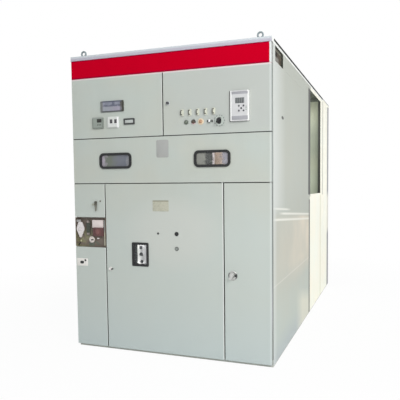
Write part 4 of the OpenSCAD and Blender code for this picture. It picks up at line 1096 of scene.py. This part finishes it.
# Dark key cover at the grip's end on the right door's handle
handleSet = {"offset": (26, 2), "radius": 8, "ends": (14, 16), "plate": 4}
handleMid = middle("right_handle")
bm = bmesh.new()
x, z = beside(handleMid, *handleSet["offset"])
spot = (x, doorFace - handleSet["plate"] * mm, z)
addTurned(bm, spot, button(handleSet["radius"] * mm, *metres(handleSet["ends"]), 0.6), segments=20)
finishPiece("handleKey", bm, "black_plastic", body="right_door")

# Dark stud beside the panel latch
studSet = {"mid": (-645, 1327), "radius": 7}
bm = bmesh.new()
x, z = metres(studSet["mid"])
r = studSet["radius"] * mm
addTurned(bm, (x, doorFace, z), [(r, 0), (r, 0.003), (r * 0.7, 0.006), (0, 0.0065)], segments=18)
finishPiece("latchStud", bm, "black_plastic", enamel("studEnamel", (0.16, 0.15, 0.12)))
print("locks done")


# Small things in the mechanism niche, the low ones thin on its back sheet
nicheSet = {"plate": (-686, 1123, 112, 70), "edge": (-610, 1046, 15, 228), "stud": (-686, 994, 8),
            "clip": (-880, 968, 32, 26), "boss": (-765, 938, 58, 32), "strip": (-886, 1148, 44, 22),
            "levers": ((-897, 938, 34, 11, -45), (-716, 952, 62, 7, 38), (-698, 950, 56, 6, 38)),
            "sheet": 3, "thin": 2}
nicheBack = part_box("niche_tray")[1].y - nicheSet["sheet"] * mm
thin = nicheSet["thin"] * mm
bm = bmesh.new()
addPlate(bm, *placed(nicheSet["plate"]), nicheBack, thick=0.022, corner=0.004, rim=0.001)
finishPiece("nichePlate", bm, "white_enamel", enamel("nichePlate", (0.72, 0.65, 0.64)))


def trimTone(finish):
    # greyer strip at the upper left, darker upper half at the right
    return [
        (finish.z.above(1.06, 0.03), (0.24, 0.245, 0.225)),
        (finish.x.below(-0.8, 0.01), (0.38, 0.38, 0.37)),
    ]


bm = bmesh.new()
addPlate(bm, *placed(nicheSet["edge"]), doorFace + 0.010, thick=0.006, corner=0.003, rim=0.001)
addPlate(bm, *placed(nicheSet["strip"]), doorFace + 0.016, thick=0.008, corner=0.003, rim=0.001)
finishPiece("nicheTrim", bm, "grey_paint", enamel("trimEnamel", (0.43, 0.43, 0.34), tone=trimTone))

bm = bmesh.new()
x, z, r = metres(nicheSet["stud"])
neck = r * 0.6
studShape = [(neck, 0), (neck, 0.016), (r, 0.016), (r, 0.022), (neck, 0.026), (0, 0.026)]
addTurned(bm, (x, nicheBack, z), studShape, segments=20)
finishPiece("nicheStud", bm, "white_enamel")

bm = bmesh.new()
clipMid, clipSize = placed(nicheSet["clip"])
boltMid = Vector((clipMid[0] + 0.006, nicheBack - thin, clipMid[1]))
addPlate(bm, clipMid, clipSize, nicheBack, thin, corner=0.006, rim=0.0006)
addHexBolt(bm, boltMid, "-Y", across=0.016, height=0.005)
addHexBolt(bm, boltMid + Vector((-0.018, 0, 0.006)), "-Y", across=0.010, height=0.005)


def clipTone(finish):
    # brighter bolt
    return [(finish.reach(boltMid).below(0.009, 0.002), (0.52, 0.51, 0.32))]


def leverShadowTone(finish):
    # painted shadow: the lever at the left, in the niche's back corner, is near-black
    return [(finish.x.below(-0.86, 0.004), (0.020, 0.021, 0.020))]


finishPiece("nicheClip", bm, "strap_plastic", enamel("clipEnamel", (0.20, 0.19, 0.11), tone=clipTone))

bm = bmesh.new()
# the first lever, near-black by its tone, is a painted shadow in the niche's left corner
for leverX, leverZ, leverLong, leverWide, leverTurn in nicheSet["levers"]:
    half = Vector((leverLong * mm, thin, leverWide * mm)) / 2
    spot = (leverX * mm, nicheBack - half.y, leverZ * mm)
    addBlock(bm, spot, half, edge=0.0008, turn=Matrix.Rotation(math.radians(leverTurn), 3, "Y"))
addPlate(bm, *placed(nicheSet["boss"]), nicheBack, thin, corner=0.005, rim=0.0006)
finishPiece("nicheLevers", bm, "grey_paint", enamel("leverEnamel", (0.15, 0.17, 0.14), tone=leverShadowTone))
print("niche details done")


# Marks on the breaker's indicator panel behind the door window
indicatorSet = {"lever": (-286, 923, 28, 32), "grip": (8, 14, 24),
                "knobs": ((-283, 861, 13), (-278, 796, 12), (-270, 852, 5))}
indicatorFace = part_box("indicator_panel")[0].y
bm = bmesh.new()
mid, size = placed(indicatorSet["lever"])
addPlate(bm, mid, size, indicatorFace, thick=0.004, corner=0.010, rim=0.001)
half = Vector(indicatorSet["grip"]) * mm / 2
addBlock(bm, (mid[0], indicatorFace - half.y, mid[1]), half, edge=0.002)
finishPiece("indicatorLever", bm, "grey_plastic", moulded("indicatorLever", (0.16, 0.16, 0.17), 0.4))
bm = bmesh.new()
for place in indicatorSet["knobs"]:
    x, z, r = metres(place)
    knob = [(r * 1.25, 0), (r * 1.25, 0.003), (r, 0.004), (r * 0.95, 0.012), (r * 0.7, 0.014), (0, 0.014)]
    addTurned(bm, (x, indicatorFace, z), knob, segments=24)
finishPiece("indicatorKnobs", bm, "black_plastic")
print("indicator marks done")


# Bolts on the rear covers and the roof
boltSet = {"inset": 16, "rows": 5, "columns": 6, "split": 1300, "size": (13, 5),
           "roofInset": 34, "roofPitch": 330, "roofSize": (16, 6)}
coverLow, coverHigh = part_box("rear_covers")
bm = bmesh.new()
inset = boltSet["inset"] * mm
split = boltSet["split"] * mm
columns = between(coverLow.x, coverHigh.x, inset, boltSet["columns"])
for bottom, top in ((coverLow.z, split), (split, coverHigh.z)):
    rows = between(bottom, top, inset, boltSet["rows"])
    for z in rows:
        for x in columns:
            if z in (rows[0], rows[-1]) or x in (columns[0], columns[-1]):  # round the edge
                addHexBolt(bm, (x, coverHigh.y, z), "Y", *metres(boltSet["size"]))
finishPiece("coverBolts", bm, "zinc")

bm = bmesh.new()
inset = boltSet["roofInset"] * mm
for roofNode in ("roof_cover", "rear_roof"):
    roofLow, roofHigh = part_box(roofNode)
    run = roofHigh.y - roofLow.y - 2 * inset
    count = max(2, round(run / (boltSet["roofPitch"] * mm))) + 1
    for y in between(roofLow.y, roofHigh.y, inset, count):
        for x in (roofLow.x + inset, roofHigh.x - inset):
            addHexBolt(bm, (x, y, roofHigh.z), "Z", *metres(boltSet["roofSize"]))
finishPiece("roofBolts", bm, "zinc")
print("bolts done")


# Stage: pale floor, soft light, camera at the photo's angle
def stageFloor():
    bm = bmesh.new()
    bmesh.ops.create_grid(bm, x_segments=1, y_segments=1, size=30)
    mesh = bpy.data.meshes.new("floor")
    bm.to_mesh(mesh)
    bm.free()
    floor = bpy.data.objects.new("floor", mesh)
    scene.collection.objects.link(floor)
    finish = Finish("floorWhite", baseColor=(0.92, 0.92, 0.92), roughness=0.9, specularLevel=0.1)
    seen = finish.node("ShaderNodeLightPath", output="Is Camera Ray")
    away = finish.node("ShaderNodeVectorMath", {"operation": "LENGTH"}, {0: finish.place}, "Value")
    glow = finish.node("ShaderNodeEmission", {}, {"Color": (1, 1, 1), "Strength": 1.0})
    lit = Wire(finish, finish.shader.outputs[0])
    white = seen * (0.95 + 0.05 * away.above(3.4, 2.4))  # fades into the backdrop
    both = finish.node("ShaderNodeMixShader", {}, {0: white, 1: lit, 2: glow})
    finish.link(finish.tree.nodes["Material Output"].inputs["Surface"], both)
    mesh.materials.append(finish.material)


worldSet = {"light": 0.50, "tint": (0.97, 0.99, 1.0)}


def stageWorld():
    world = bpy.data.worlds.new("studio")
    scene.world = world
    world.use_nodes = True
    graph = Graph(world.node_tree)
    seen = graph.node("ShaderNodeLightPath", output="Is Camera Ray")
    for ray in ("Is Glossy Ray", "Is Transmission Ray"):
        seen = seen.larger(graph.node("ShaderNodeLightPath", output=ray))
    dome = graph.node("ShaderNodeBackground", {}, {"Color": worldSet["tint"], "Strength": worldSet["light"]})
    white = graph.node("ShaderNodeBackground", {}, {"Color": (1, 1, 1), "Strength": 1.0})
    both = graph.node("ShaderNodeMixShader", {}, {0: seen, 1: dome, 2: white})
    graph.link(graph.tree.nodes["World Output"].inputs["Surface"], both)


# The last five stand inside the cabinet and light what shows through its openings
lampLights = {
    "key": {"place": (4.6, -6.2, 4.2), "aim": (0.6, -1.2, 1.2), "size": 4.0, "power": 330},
    "side": {"place": (5.0, 3.4, 1.1), "aim": (0.9, 1.4, 0.9), "size": 2.6, "power": 62},
    "chamber": {"place": (0.62, -1.15, 2.3), "aim": (0.3, -1.0, 1.5), "size": 0.4, "power": 9},
    "busBay": {"place": (0.3, 0.35, 2.40), "aim": (0.7, 1.0, 1.7), "size": 0.4, "power": 3.5},
    "controlBay": {"place": (0.35, -1.05, 2.470), "aim": (0.85, -1.02, 2.59), "size": 0.10, "power": 1.3},
    "windowTop": {"place": (-0.30, -1.588, 1.00), "aim": (-0.28, -1.566, 0.85), "size": 0.03, "power": 0.15},
    "windowLow": {"place": (-0.30, -1.588, 0.74), "aim": (-0.28, -1.566, 0.87), "size": 0.03, "power": 0.09},
}


def stageLight(name, values):
    lamp = bpy.data.lights.new(name, "AREA")
    lamp.size = values["size"]
    lamp.energy = values["power"]
    holder = bpy.data.objects.new(name, lamp)
    holder.location = values["place"]
    aim = Vector(values["aim"]) - Vector(values["place"])
    holder.rotation_euler = aim.to_track_quat("-Z", "Y").to_euler()
    holder.visible_camera = False
    scene.collection.objects.link(holder)


viewSet = {"place": (1.806, -5.079, 1.4625), "tilt": 86.79, "roll": 0.32, "turn": 17.71, "lens": 41.11,
           "shift": (-0.1147, 0.0266)}


def stageCamera():
    camera = bpy.data.cameras.new("photoView")
    camera.sensor_width = 36
    camera.lens = viewSet["lens"]
    camera.shift_x, camera.shift_y = viewSet["shift"]
    holder = bpy.data.objects.new("photoView", camera)
    holder.location = viewSet["place"]
    holder.rotation_euler = [math.radians(viewSet[key]) for key in ("tilt", "roll", "turn")]
    scene.collection.objects.link(holder)
    scene.camera = holder


stageFloor()
stageWorld()
for lightName, lightValues in lampLights.items():
    stageLight(lightName, lightValues)
stageCamera()
print("stage set")
